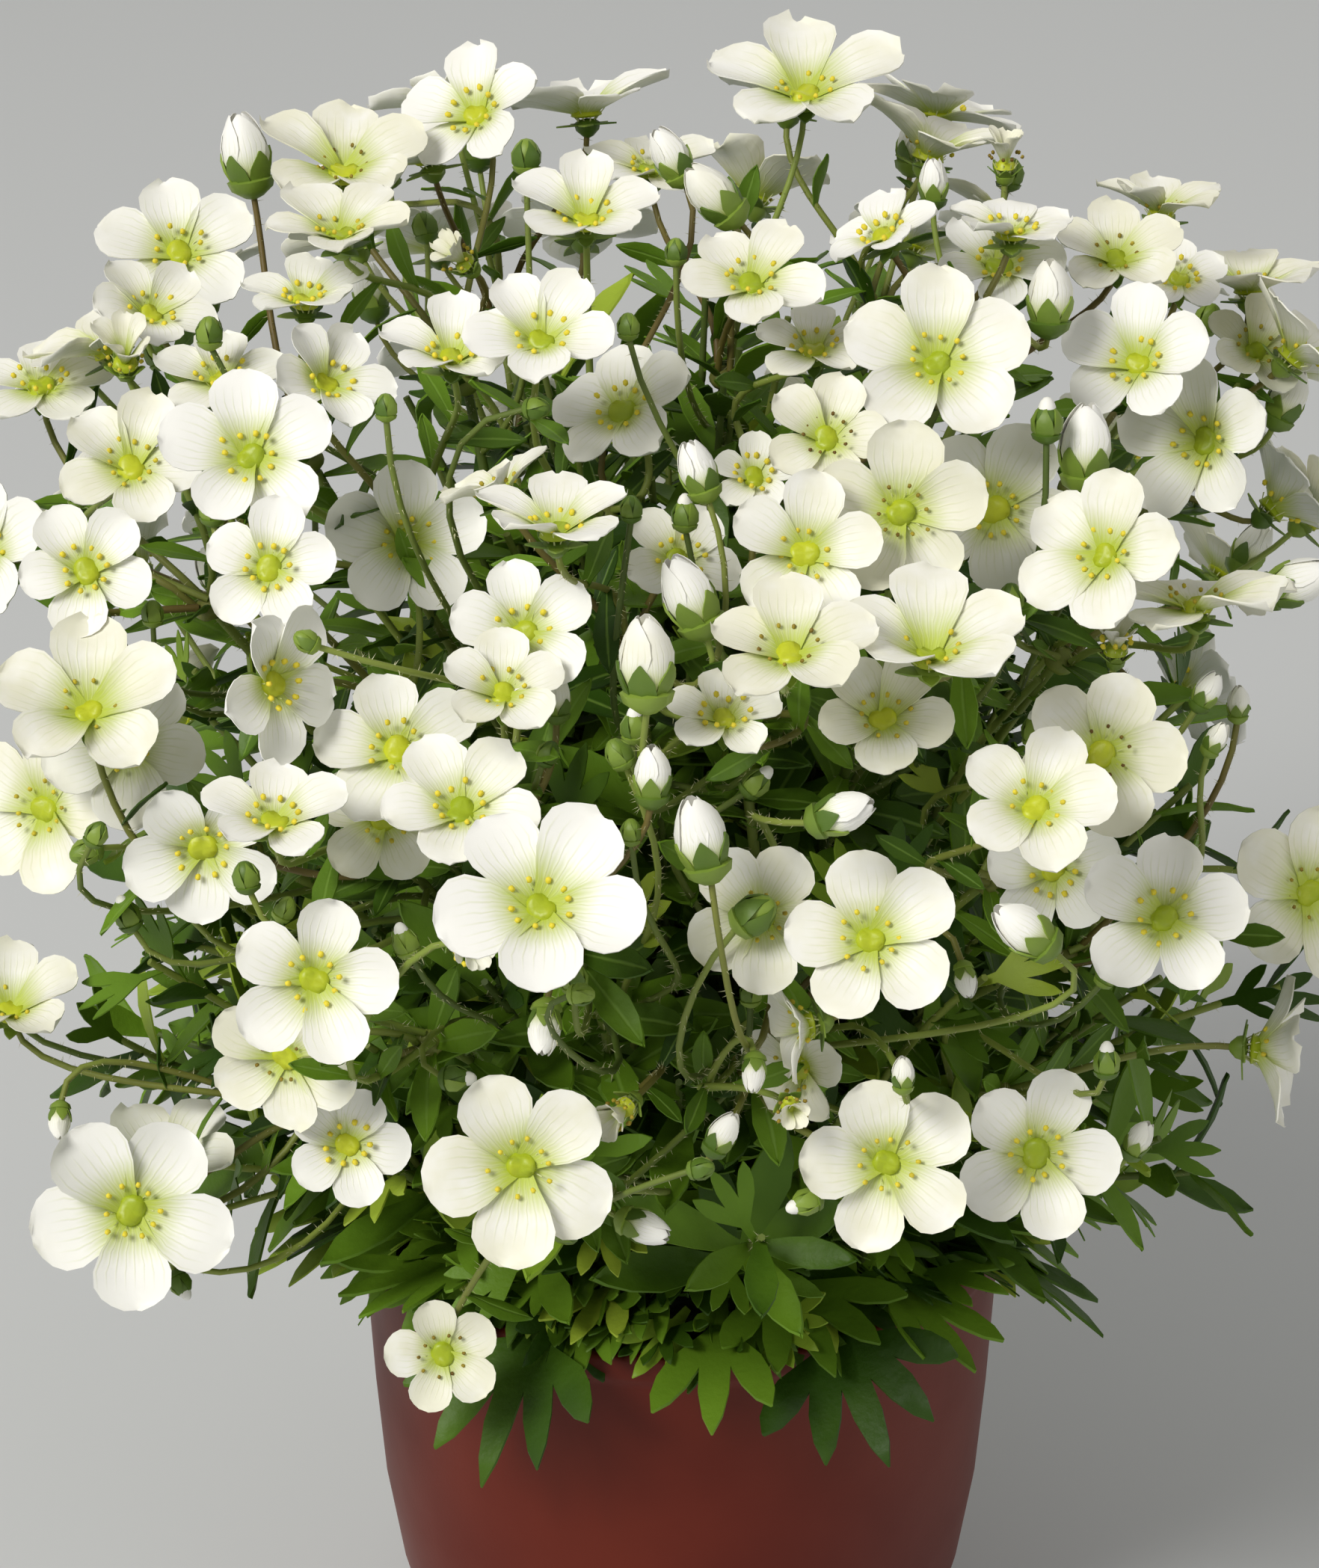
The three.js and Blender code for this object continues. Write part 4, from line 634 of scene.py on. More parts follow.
for head in all_heads:
    for bloom in head["blooms"]:
        bloom["axis"] = bloom["normal"]
        bloom["base"] = bloom["centre"] - bloom["normal"] * CALYX_DEPTH * 0.3
    head["raised"] = head["blooms"] + [bud for bud in head["buds"] if bud["stage"] == 2]
    set_starts(head)
    add_tube(head["name"], np.array([head["fork"], head["fork"] + head["outward"] * KNOT_LENGTH]),
             head["ring"] + KNOT_EDGE)
bloom_places = {id(bloom): k for k, bloom in enumerate(all_blooms)}
for stem in stems:
    for path, head in zip(stem["paths"], stem["heads"]):
        for piece in head["raised"]:
            piece["path"] = clear_path(piece["start"], head["outward"], piece["base"], piece["axis"],
                                       PEDICEL_RADIUS, piece["steps"], head["name"],
                                       bloom_places.get(id(piece)))
        for k, bud in enumerate(bud for bud in head["buds"] if bud["stage"] < 2):
            place = FIRST_BUD - BUD_STEP * k
            start = path.at(place)[0]
            bud["path"] = clear_path(start, slanted(path.way(place), start, bud["base"]),
                                     bud["base"], bud["axis"], PEDICEL_RADIUS, bud["steps"],
                                     stem["name"])
print("stalks laid:", len(tube_points))

# %% [markdown]
# ## Working by hand, in code
# In edit mode an operator acts on whatever is selected. So each step first picks vertices, edges
# or faces by where they are, as a hand would with the mouse, and then moves, scales or extrudes
# them. A finished pattern is read into plain arrays, from which its copies are laid.
# %% Hands
def begin(add, **settings):
    """Adds a primitive and goes into edit mode with nothing picked."""
    bpy.ops.object.select_all(action="DESELECT")
    add(**settings)
    bpy.ops.object.mode_set(mode="EDIT")
    bpy.ops.mesh.select_all(action="DESELECT")
    return bpy.context.object


def pick(choose, kind="VERT"):
    """Picks the vertices or edges whose place passes the test, and tells how many."""
    bpy.ops.mesh.select_mode(type=kind)
    bpy.ops.mesh.select_all(action="DESELECT")
    work = bmesh.from_edit_mesh(bpy.context.object.data)
    picked = 0
    for item in work.verts if kind == "VERT" else work.edges:
        place = item.co if kind == "VERT" else (item.verts[0].co + item.verts[1].co) / 2
        if choose(place):
            item.select_set(True)
            picked += 1
    work.select_flush_mode()
    bmesh.update_edit_mesh(bpy.context.object.data)
    return picked


def finish(thickness=0.0, smooth_levels=0):
    """Leaves edit mode and gives the sheet its smoothing and its thickness."""
    bpy.ops.object.mode_set(mode="OBJECT")
    piece = bpy.context.object
    if smooth_levels:
        smooth = piece.modifiers.new("smooth", "SUBSURF")
        smooth.levels = smooth.render_levels = smooth_levels
        bpy.ops.object.modifier_apply(modifier=smooth.name)
    if thickness:
        wall = piece.modifiers.new("thickness", "SOLIDIFY")
        wall.thickness, wall.offset = thickness, 0
        bpy.ops.object.modifier_apply(modifier=wall.name)
    return piece


class Pattern:
    """A modelled piece as arrays: its places, its faces and where each corner is on it."""

    def __init__(self, piece):
        mesh = piece.data
        self.places = np.zeros(len(mesh.vertices) * 3)
        mesh.vertices.foreach_get("co", self.places)
        self.places = self.places.reshape(-1, 3)
        self.faces = [list(face.vertices) for face in mesh.polygons]
        self.uvs = np.zeros(len(mesh.loops) * 2)
        if mesh.uv_layers:
            mesh.uv_layers[0].data.foreach_get("uv", self.uvs)
        self.uvs = self.uvs.reshape(-1, 2)
        bpy.data.objects.remove(piece)


print("ready to model")

# %% [markdown]
# ## A petal
# The real petal is broad and rounded at its tip and narrows to a claw at its base, with a sheet
# thinner than paper. A grid is the right start, because its rows can be widened and its corners
# drawn in one at a time, and it keeps a UV map that runs from base to tip for the veins.
# %% Petal
PETAL_ROWS = [(0, 0.10), (0.2, 0.195), (0.42, 0.32), (0.62, 0.4), (0.78, 0.395), (0.9, 0.32),
              (0.97, 0.21), (1.0, 0.09)]
PETAL_COLUMNS = 4


def grid_sheet(rows, columns):
    """A grid whose rows get their place and half width from a list."""
    piece = begin(bpy.ops.mesh.primitive_grid_add, x_subdivisions=columns,
                  y_subdivisions=len(rows) - 1, size=2, calc_uvs=True)
    work = bmesh.from_edit_mesh(piece.data)
    heights = sorted({round(vertex.co.y, 4) for vertex in work.verts})
    for height, (place, half) in reversed(list(zip(heights, rows))):
        pick(lambda at: abs(at.y - height) < 1e-3)
        bpy.ops.transform.resize(value=(half, 1, 1), center_override=(0, height, 0))
        bpy.ops.transform.translate(value=(0, place + 3 - height, 0))
    bpy.ops.mesh.select_all(action="SELECT")
    bpy.ops.transform.translate(value=(0, -3, 0))
    return piece


grid_sheet(PETAL_ROWS, PETAL_COLUMNS)
for side in (-1, 1):
    pick(lambda at: at.x * side > 0.2 and 0.35 < at.y < 0.85)
    bpy.ops.transform.translate(value=(0, -0.03, 0))
    pick(lambda at: at.x * side > 0.18 and 0.85 < at.y < 0.94)
    bpy.ops.transform.translate(value=(0, -0.03, 0))
    pick(lambda at: at.x * side > 0.1 and at.y > 0.94)
    bpy.ops.transform.translate(value=(side * 0.01, -0.025, 0))
petal = Pattern(finish(thickness=0.018))
print("petal faces:", len(petal.faces))

# %% [markdown]
# ## Sepals and leaves of the stem
# Both are narrow blades with a pointed tip, so the same grid serves with other rows. The leaf has
# a groove along its midrib, made by lowering its middle column.
# %% Sepal and stem leaf
SEPAL_ROWS = [(0, 0.27), (0.3, 0.32), (0.6, 0.25), (0.84, 0.12), (1.0, 0.015)]
grid_sheet(SEPAL_ROWS, 2)
sepal = Pattern(finish(thickness=0.07))

STEM_LEAF_ROWS = [(0, 0.055), (0.16, 0.075), (0.36, 0.125), (0.58, 0.16), (0.78, 0.125),
                  (0.92, 0.06), (1.0, 0.008)]
grid_sheet(STEM_LEAF_ROWS, 2)
pick(lambda at: abs(at.x) < 0.004 and at.y > 0.1)
bpy.ops.transform.translate(value=(0, 0, -0.03))
pick(lambda at: at.y > 0.95)
bpy.ops.transform.translate(value=(0, 0, 0.02))
stem_leaf = Pattern(finish(thickness=0.02))
print("sepal faces:", len(sepal.faces), "stem leaf faces:", len(stem_leaf.faces))

# %% [markdown]
# ## A basal leaf
# A mossy saxifrage's basal leaf is a thin wedge on a narrow stalk, and it opens into three to
# seven pointed fingers. It starts as a grid whose front row is spread into a fan. Each front edge
# is then extruded three times, a little wider, narrower, and nearly to a point.
# %% Basal leaf
FINGER_STEPS = ((0.4, 0.98), (0.36, 0.66), (0.24, 0.1))
FAN_PLACE, STALK_PLACE = 0.58, 0.27


def lobed_leaf(fingers, fan, splay, length):
    """A wedge whose front edges are extruded into pointed fingers."""
    begin(bpy.ops.mesh.primitive_grid_add, x_subdivisions=fingers, y_subdivisions=2, size=2,
          calc_uvs=True)
    for k in range(fingers + 1):
        x = -1 + 2 * k / fingers
        turn = fan * x
        pick(lambda at: abs(at.x - x) < 1e-3 and at.y > 0.9 and at.z == 0)
        bpy.ops.transform.translate(value=(FAN_PLACE * math.sin(turn) - x,
                                           FAN_PLACE * math.cos(turn) - 1, 0.5 + k))
    for row, place, half in ((-1, 0, 0.035), (0, STALK_PLACE, 0.06)):
        pick(lambda at: abs(at.y - row) < 1e-3 and at.z == 0)
        bpy.ops.transform.resize(value=(half, 1, 1), center_override=(0, row, 0))
        bpy.ops.transform.translate(value=(0, place - row, 0.2))
    pick(lambda at: True)
    bpy.ops.transform.resize(value=(1, 1, 0), center_override=(0, 0, 0))
    for k in range(fingers):
        aside = -1 + (2 * k + 1) / fingers
        middle = Vector((FAN_PLACE * math.sin(fan * aside), FAN_PLACE * math.cos(fan * aside), 0))
        pick(lambda at: (at - middle).length < 0.05, kind="EDGE")
        way = Vector((math.sin(splay * aside), math.cos(splay * aside), 0))
        for share, narrow in FINGER_STEPS:
            step = way * length * share * (1 - 0.2 * abs(aside))
            bpy.ops.mesh.extrude_region_move(TRANSFORM_OT_translate={"value": step})
            middle = middle + step
            bpy.ops.transform.resize(value=(narrow,) * 3, center_override=middle)
    return Pattern(finish(thickness=0.018))


wide_leaf = lobed_leaf(5, math.radians(43), math.radians(58), 0.42)
plain_leaf = lobed_leaf(3, math.radians(26), math.radians(38), 0.42)
print("wide leaf faces:", len(wide_leaf.faces), "plain leaf faces:", len(plain_leaf.faces))

# %% [markdown]
# ## The heart of a bloom
# Below the petals sits a bell-shaped green calyx. In the middle the yellow-green ovary parts into
# two horns, its styles, and ten stamens stand round it, each a thread with an anther at its tip.
# Balls and cones of few faces, shaped and scaled, are enough at this size.
# %% Calyx, ovary and stamen
def ball_pattern(segments, rings, shape):
    """A ball of few faces, shaped in edit mode."""
    begin(bpy.ops.mesh.primitive_uv_sphere_add, segments=segments, ring_count=rings, radius=1)
    shape()
    return Pattern(finish())


def bell():
    pick(lambda at: at.z > 0.3)
    bpy.ops.transform.resize(value=(1.15, 1.15, 0.6), center_override=(0, 0, 0.3))
    pick(lambda at: at.z < -0.6)
    bpy.ops.transform.resize(value=(0.75, 0.75, 1.1), center_override=(0, 0, -0.6))


def horns():
    for side in (-1, 1):
        pick(lambda at: at.x * side > 0.3 and at.z > 0.6)
        bpy.ops.transform.translate(value=(side * 0.12, 0, 0.55))
        pick(lambda at: at.x * side > 0.3 and at.z > 1.3)
        bpy.ops.transform.resize(value=(0.5, 0.5, 1.3), center_override=(side * 0.55, 0, 1.3))
    pick(lambda at: at.z < 0)
    bpy.ops.transform.resize(value=(1, 1, 0.4), center_override=(0, 0, 0))


calyx = ball_pattern(8, 5, bell)
ovary = ball_pattern(12, 8, horns)
anther = ball_pattern(5, 3, lambda: None)
egg = ball_pattern(10, 8, lambda: None)


def thread_pattern():
    """A slim three-sided cone, from its root at the origin to its tip one unit up."""
    begin(bpy.ops.mesh.primitive_cone_add, vertices=3, radius1=1, radius2=0.5, depth=1,
          location=(0, 0, 0.5))
    return Pattern(finish())


thread = thread_pattern()
print("faces of calyx, ovary, anther:", len(calyx.faces), len(ovary.faces), len(anther.faces))


# %% [markdown]
# ## Laying copies
# A gathering takes the copies for one node and makes them one mesh at the end. Each copy has its
# own places, so it can be bent a little differently. A tone attribute carries a number for each
# copy, so that its material can tint old and young pieces apart, and each face names its skin.
# %% Gathering
SHARP_FROM = math.radians(65)


class Gathering:
    """Copies of patterns and stalks, in millimetres, which become one mesh."""

    def __init__(self, name):
        self.name = name
        self.places, self.faces, self.uvs, self.tones, self.skins = [], [], [], [], []
        self.count = 0

    def lay(self, pattern, places, tone=0.5, skin=0):
        self.places.append(places)
        self.faces.extend([[corner + self.count for corner in face] for face in pattern.faces])
        self.uvs.append(pattern.uvs)
        self.tones.append(np.full(len(places), tone))
        self.skins.extend([skin] * len(pattern.faces))
        self.count += len(places)

    def make(self, skins, slot, nodes):
        mesh = bpy.data.meshes.new(self.name)
        mesh.from_pydata(np.concatenate(self.places) * MM, [], self.faces)
        layer = mesh.uv_layers.new(name="UVMap")
        layer.data.foreach_set("uv", np.concatenate(self.uvs).ravel())
        mesh.attributes.new("tone", "FLOAT", "POINT").data.foreach_set(
            "value", np.concatenate(self.tones))
        mesh.polygons.foreach_set("material_index", self.skins)
        mesh.polygons.foreach_set("use_smooth", [True] * len(mesh.polygons))
        for skin in skins:
            mesh.materials.append(skin)
        mesh.set_sharp_from_angle(angle=SHARP_FROM)
        mesh.update()
        piece = bpy.data.objects.new(self.name, mesh)
        bpy.context.scene.collection.objects.link(piece)
        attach(piece, "root")
        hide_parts(*nodes)
        self.triangles = sum(len(face) - 2 for face in self.faces)
        return piece


print("sharp from:", round(math.degrees(SHARP_FROM)), "degrees")


# %% Places on the plant
def basis(x, y, z):
    """Turns places in a piece's own directions into places on the plant."""
    return np.array([x, y, z])


def stood(pattern, size, turn_to, centre, spin=0.0):
    """A pattern scaled, turned round itself and stood along a direction at a place."""
    x, y = sideways(turn_to, spin), sideways(turn_to, spin + math.pi / 2)
    return pattern.places * np.array(size) @ basis(x, y, turn_to) + centre


print("a basis:", basis(RIGHT, UP, TOWARD).shape)


# %% [markdown]
# ## Stalks and hairs
# A stalk could be a curve with a bevel, but hundreds of them are lighter as rings of a few sides
# along their path, closed at both ends. A hair is a sliver with three sides on a closed foot.
# %% Stalks
class Sweep:
    """A round stalk along a path: rings of a few sides that thin towards the end."""

    def __init__(self, points, radii, sides):
        ways = np.gradient(points, axis=0)
        ways /= np.linalg.norm(ways, axis=1)[:, None]
        side = sideways(ways[0], 0)
        rings = []
        for point, way, radius in zip(points, ways, radii):
            side = unit(side - way * side.dot(way))
            other = np.cross(way, side)
            turns = 2 * math.pi * np.arange(sides) / sides
            rings.append(point + radius * (np.outer(np.cos(turns), side)
                                           + np.outer(np.sin(turns), other)))
        self.places = np.concatenate([points[:1], *rings, points[-1:]])
        self.faces = []
        last = len(rings) - 1
        for k in range(sides):
            after = (k + 1) % sides
            self.faces.append([0, 1 + after, 1 + k])
            for row in range(last):
                low, high = 1 + row * sides, 1 + (row + 1) * sides
                self.faces.append([low + k, low + after, high + after, high + k])
            top = 1 + last * sides
            self.faces.append([top + k, top + after, len(self.places) - 1])
        self.uvs = np.zeros((sum(len(face) for face in self.faces), 2))


print("stalks ready")


# %% Hairs
class Hairs:
    """Fine hairs: three-sided slivers that stand on given places."""

    def __init__(self, roots, ways, lengths, radius):
        count = len(roots)
        first = np.cross(ways, SKY + 0.01)
        first /= np.linalg.norm(first, axis=1)[:, None]
        second = np.cross(ways, first)
        corners = [roots + radius * (first * math.cos(turn) + second * math.sin(turn))
                   for turn in (0, 2 * math.pi / 3, 4 * math.pi / 3)]
        tips = roots + ways * np.asarray(lengths)[:, None]
        self.places = np.stack([*corners, tips], axis=1).reshape(-1, 3)
        self.faces = []
        for k in range(0, 4 * count, 4):
            self.faces += [[k + 2, k + 1, k], [k, k + 1, k + 3], [k + 1, k + 2, k + 3],
                           [k + 2, k, k + 3]]
        self.uvs = np.zeros((12 * count, 2))


chance = np.random.default_rng(7)
HAIR_RADIUS, HAIR_LENGTH = 0.065, 0.95


def add_hairs(gathering, points, radii, per_mm, length, skin, tone=0.5):
    """Hairs at random all round a stalk."""
    spans = np.linalg.norm(np.diff(points, axis=0), axis=1)
    count = int(spans.sum() * per_mm)
    if not count:
        return
    far = chance.random(count) * spans.sum()
    ends = np.concatenate([[0], np.cumsum(spans)])
    middle = np.stack([np.interp(far, ends, points[:, k]) for k in range(3)], axis=1)
    around = np.interp(far, ends, radii)
    ways = chance.normal(size=(count, 3))
    tangent = unit(points[-1] - points[0])
    ways -= np.outer(ways @ tangent, tangent)
    ways /= np.linalg.norm(ways, axis=1)[:, None]
    hairs = Hairs(middle + ways * around[:, None] * 0.9, ways,
                  length * (0.6 + 0.8 * chance.random(count)), HAIR_RADIUS)
    gathering.lay(hairs, hairs.places, tone, skin)


print("hairs ready, of", HAIR_RADIUS, "mm radius")


# %% [markdown]
# ## Skins
# A petal is warm white and soft, greenish at its claw, with fine veins that fan from there and
# fade out. The veins are stripes on the UV map, which narrow with the petal by themselves. Greens
# vary slowly over the plant and a little from copy to copy, by the tone attribute. One group
# makes that drift for every green.
# %% Node helpers
def linear(red, green, blue):
    """A colour as seen on screen, from 0 to 255, as the shader's numbers."""
    return tuple((value / 255) ** 2.2 for value in (red, green, blue)) + (1.0,)


def new_skin(name, **settings):
    """A material with its Principled shader, whose plain sockets are set by name."""
    skin = bpy.data.materials.new(name)
    skin.use_nodes = True
    shader = skin.node_tree.nodes["Principled BSDF"]
    for socket, value in settings.items():
        shader.inputs[socket.replace("_", " ")].default_value = value
    return skin, skin.node_tree, shader


def node(tree, kind, inputs=(), **settings):
    """A node with its settings, and its inputs set or linked."""
    made = tree.nodes.new(kind)
    for name, value in settings.items():
        setattr(made, name, value)
    for socket, value in dict(inputs).items():
        if isinstance(value, bpy.types.NodeSocket):
            tree.links.new(value, made.inputs[socket])
        else:
            made.inputs[socket].default_value = value
    return made


def mixed(tree, share, first, second):
    made = node(tree, "ShaderNodeMix", data_type="RGBA")
    for socket, value in ((0, share), (6, first), (7, second)):
        if isinstance(value, bpy.types.NodeSocket):
            tree.links.new(value, made.inputs[socket])
        else:
            made.inputs[socket].default_value = value
    return made.outputs[2]


def eased(tree, value, low, high, start=0.0, end=1.0):
    made = node(tree, "ShaderNodeMapRange", {"Value": value, "From Min": low, "From Max": high,
                                             "To Min": start, "To Max": end})
    made.interpolation_type = "SMOOTHSTEP"
    return made.outputs[0]


def maths(tree, operation, first, second=0.0):
    made = node(tree, "ShaderNodeMath", operation=operation)
    for socket, value in ((0, first), (1, second)):
        if isinstance(value, bpy.types.NodeSocket):
            tree.links.new(value, made.inputs[socket])
        else:
            made.inputs[socket].default_value = value
    return made.outputs[0]


print("node helpers ready")


# %% Drifting green
def drift_group():
    """A green that drifts over the plant and from copy to copy."""
    group = bpy.data.node_groups.new("green drift", "ShaderNodeTree")
    for name in ("Light", "Dark"):
        group.interface.new_socket(name, in_out="INPUT", socket_type="NodeSocketColor")
    group.interface.new_socket("Scale", in_out="INPUT", socket_type="NodeSocketFloat")
    group.interface.new_socket("Color", in_out="OUTPUT", socket_type="NodeSocketColor")
    taken, given = node(group, "NodeGroupInput"), node(group, "NodeGroupOutput")
    place = node(group, "ShaderNodeTexCoord").outputs["Object"]
    noise = node(group, "ShaderNodeTexNoise", {"Vector": place, "Scale": taken.outputs["Scale"],
                                               "Detail": 3.0})
    tone = node(group, "ShaderNodeAttribute", attribute_name="tone").outputs["Fac"]
    both = maths(group, "ADD", maths(group, "MULTIPLY", noise.outputs["Fac"], 0.6),
                 maths(group, "MULTIPLY", tone, 0.55))
    colour = mixed(group, eased(group, both, 0.25, 0.85), taken.outputs["Dark"],
                   taken.outputs["Light"])
    group.links.new(colour, given.inputs["Color"])
    return group


green_drift = drift_group()


def green_skin(name, light, dark, scale=60.0, bump=0.15, **settings):
    """A living green whose colour drifts, with a fine uneven surface."""
    skin, tree, shader = new_skin(name, **settings)
    drift = node(tree, "ShaderNodeGroup", node_tree=green_drift)
    drift.inputs["Light"].default_value = light
    drift.inputs["Dark"].default_value = dark
    drift.inputs["Scale"].default_value = scale
    tree.links.new(drift.outputs["Color"], shader.inputs["Base Color"])
    place = node(tree, "ShaderNodeTexCoord").outputs["Object"]
    grain = node(tree, "ShaderNodeTexNoise", {"Vector": place, "Scale": 900.0, "Detail": 2.0})
    raised = node(tree, "ShaderNodeBump", {"Height": grain.outputs["Fac"], "Strength": bump,
                                           "Distance": 0.0004})
    tree.links.new(raised.outputs["Normal"], shader.inputs["Normal"])
    return skin


print("inputs of the drift:", len(green_drift.interface.items_tree) - 1)

# %% Petal skin
PETAL_WHITE = linear(253, 252, 246)
PETAL_SHADE = linear(240, 238, 216)
PETAL_VEIN = linear(206, 212, 150)
PETAL_CLAW = linear(182, 198, 62)
VEINS = 8


def petal_skin():
    skin, tree, shader = new_skin("petal", Roughness=0.5, Specular_IOR_Level=0.3)
    split = node(tree, "ShaderNodeSeparateXYZ",
                 {"Vector": node(tree, "ShaderNodeUVMap", uv_map="UVMap").outputs["UV"]})
    across, along = split.outputs["X"], split.outputs["Y"]
    place = node(tree, "ShaderNodeTexCoord").outputs["Object"]
    cloud = node(tree, "ShaderNodeTexNoise", {"Vector": place, "Scale": 160.0, "Detail": 3.0})
    drawn = maths(tree, "ADD", across, maths(tree, "MULTIPLY", cloud.outputs["Fac"], 0.06))
    stripe = maths(tree, "FRACT", maths(tree, "MULTIPLY", drawn, float(VEINS)))
    ridge = maths(tree, "ABSOLUTE", maths(tree, "SUBTRACT", stripe, 0.5))
    faint = eased(tree, along, 0.66, 0.16)
    vein = maths(tree, "MULTIPLY", eased(tree, ridge, 0.15, 0.0), faint)
    tone = node(tree, "ShaderNodeAttribute", attribute_name="tone").outputs["Fac"]
    shade = maths(tree, "MULTIPLY", cloud.outputs["Fac"], maths(tree, "ADD", tone, 0.3))
    colour = mixed(tree, eased(tree, shade, 0.15, 0.75), PETAL_WHITE, PETAL_SHADE)
    colour = mixed(tree, maths(tree, "MULTIPLY", vein, 0.6), colour, PETAL_VEIN)
    claw = maths(tree, "ADD", along, maths(tree, "MULTIPLY", ridge, -0.12))
    colour = mixed(tree, eased(tree, claw, 0.36, 0.05, 0.0, 0.95), colour, PETAL_CLAW)
    tree.links.new(colour, shader.inputs["Base Color"])
    relief = maths(tree, "SUBTRACT", cloud.outputs["Fac"], maths(tree, "MULTIPLY", vein, 0.4))
    raised = node(tree, "ShaderNodeBump", {"Height": relief, "Strength": 0.25,
                                           "Distance": 0.0005})
    tree.links.new(raised.outputs["Normal"], shader.inputs["Normal"])
    return skin


petal_white = petal_skin()
print("petal skin: veins", VEINS)

# %% Green skins
stem_green = green_skin("stem green", linear(136, 150, 66), linear(78, 96, 36), 45.0,
                        Roughness=0.55)
pedicel_green = green_skin("pedicel green", linear(132, 150, 64), linear(104, 88, 42), 30.0,
                           Roughness=0.55)
sepal_green = green_skin("sepal green", linear(132, 156, 60), linear(80, 108, 34), 80.0,
                         Roughness=0.5)
ovary_lime = green_skin("ovary lime", linear(196, 204, 44), linear(158, 178, 36), 200.0,
                        Roughness=0.42)
hair_pale = green_skin("hair", linear(214, 214, 172), linear(170, 166, 112), 60.0, 0.0,
                       Roughness=0.5)
filament_pale = green_skin("filament", linear(226, 230, 176), linear(206, 212, 140), 60.0, 0.0,
                           Roughness=0.45)
anther_yellow = green_skin("anther", linear(238, 218, 62), linear(104, 76, 28), 400.0, 0.3,
                           Roughness=0.7)
# The cushion's heart is a near-black green: painted shade for the shadow deep inside the cushion.
painted_shade_core = green_skin("cushion shade", linear(52, 66, 26), linear(20, 28, 10), 90.0, 0.6,
                       Roughness=0.9)
HEAD_SKINS = [pedicel_green, sepal_green, ovary_lime, filament_pale, anther_yellow, hair_pale]
STALK, SEPAL, OVARY, FILAMENT, ANTHER, HAIR, BRACT = range(7)
print("green skins:", len(HEAD_SKINS) + 2)

# %% [markdown]
# ## Skins of the leaves
# A leaf is greener than a stalk and has a soft sheen. The stem's leaves show a paler midrib, which
# follows their UV map. The oldest basal leaves, those with the highest tone, turn yellow.
# %% Leaf skins
LEAF_LIGHT, LEAF_DARK = linear(108, 144, 38), linear(46, 74, 14)
LEAF_RIB, LEAF_OLD = linear(132, 166, 72), linear(168, 186, 62)


def leaf_skin(name, ribbed):
    skin, tree, shader = new_skin(name, Roughness=0.5, Specular_IOR_Level=0.28)
    drift = node(tree, "ShaderNodeGroup", node_tree=green_drift)
    drift.inputs["Light"].default_value = LEAF_LIGHT
    drift.inputs["Dark"].default_value = LEAF_DARK
    drift.inputs["Scale"].default_value = 34.0
    place = node(tree, "ShaderNodeTexCoord").outputs["Object"]
    grain = node(tree, "ShaderNodeTexNoise", {"Vector": place, "Scale": 700.0, "Detail": 3.0})
    height = grain.outputs["Fac"]
    if ribbed:
        split = node(tree, "ShaderNodeSeparateXYZ",
                     {"Vector": node(tree, "ShaderNodeUVMap", uv_map="UVMap").outputs["UV"]})
        aside = maths(tree, "ABSOLUTE", maths(tree, "SUBTRACT", split.outputs["X"], 0.5))
        rib = eased(tree, aside, 0.09, 0.01)
        colour = mixed(tree, maths(tree, "MULTIPLY", rib, 0.5), drift.outputs["Color"], LEAF_RIB)
        height = maths(tree, "SUBTRACT", height, rib)
    else:
        tone = node(tree, "ShaderNodeAttribute", attribute_name="tone").outputs["Fac"]
        colour = mixed(tree, eased(tree, tone, 0.86, 1.0, 0.0, 0.8), drift.outputs["Color"],
                       LEAF_OLD)
    tree.links.new(colour, shader.inputs["Base Color"])
    raised = node(tree, "ShaderNodeBump", {"Height": height, "Strength": 0.35,
                                           "Distance": 0.0004})
    tree.links.new(raised.outputs["Normal"], shader.inputs["Normal"])
    return skin


stem_leaf_green = leaf_skin("stem leaf green", ribbed=True)
basal_green = leaf_skin("basal leaf green", ribbed=False)
HEAD_SKINS.append(stem_leaf_green)
print("leaf skins:", 2)


# %% [markdown]
# ## Petals on their bloom
# The flat petal is wrapped on a cone: its distance from the heart becomes a way out and up, and
# its sideways place becomes a turn round the bloom. So the same pattern makes a wide open bloom,
# a half-open cup and, wrapped on an egg, a bud.
# %% Bloom
def bloom_basis(bloom):
    """The directions of a bloom: its face's right, its face's up, and out of its face."""
    turn = Vector(TOWARD).rotation_difference(Vector(bloom["normal"]))
    x = np.array(turn @ Vector(RIGHT))
    y = np.array(turn @ Vector(UP))
    return basis(x, y, bloom["normal"])


HALF_AT = ([row[0] for row in PETAL_ROWS], [row[1] for row in PETAL_ROWS])


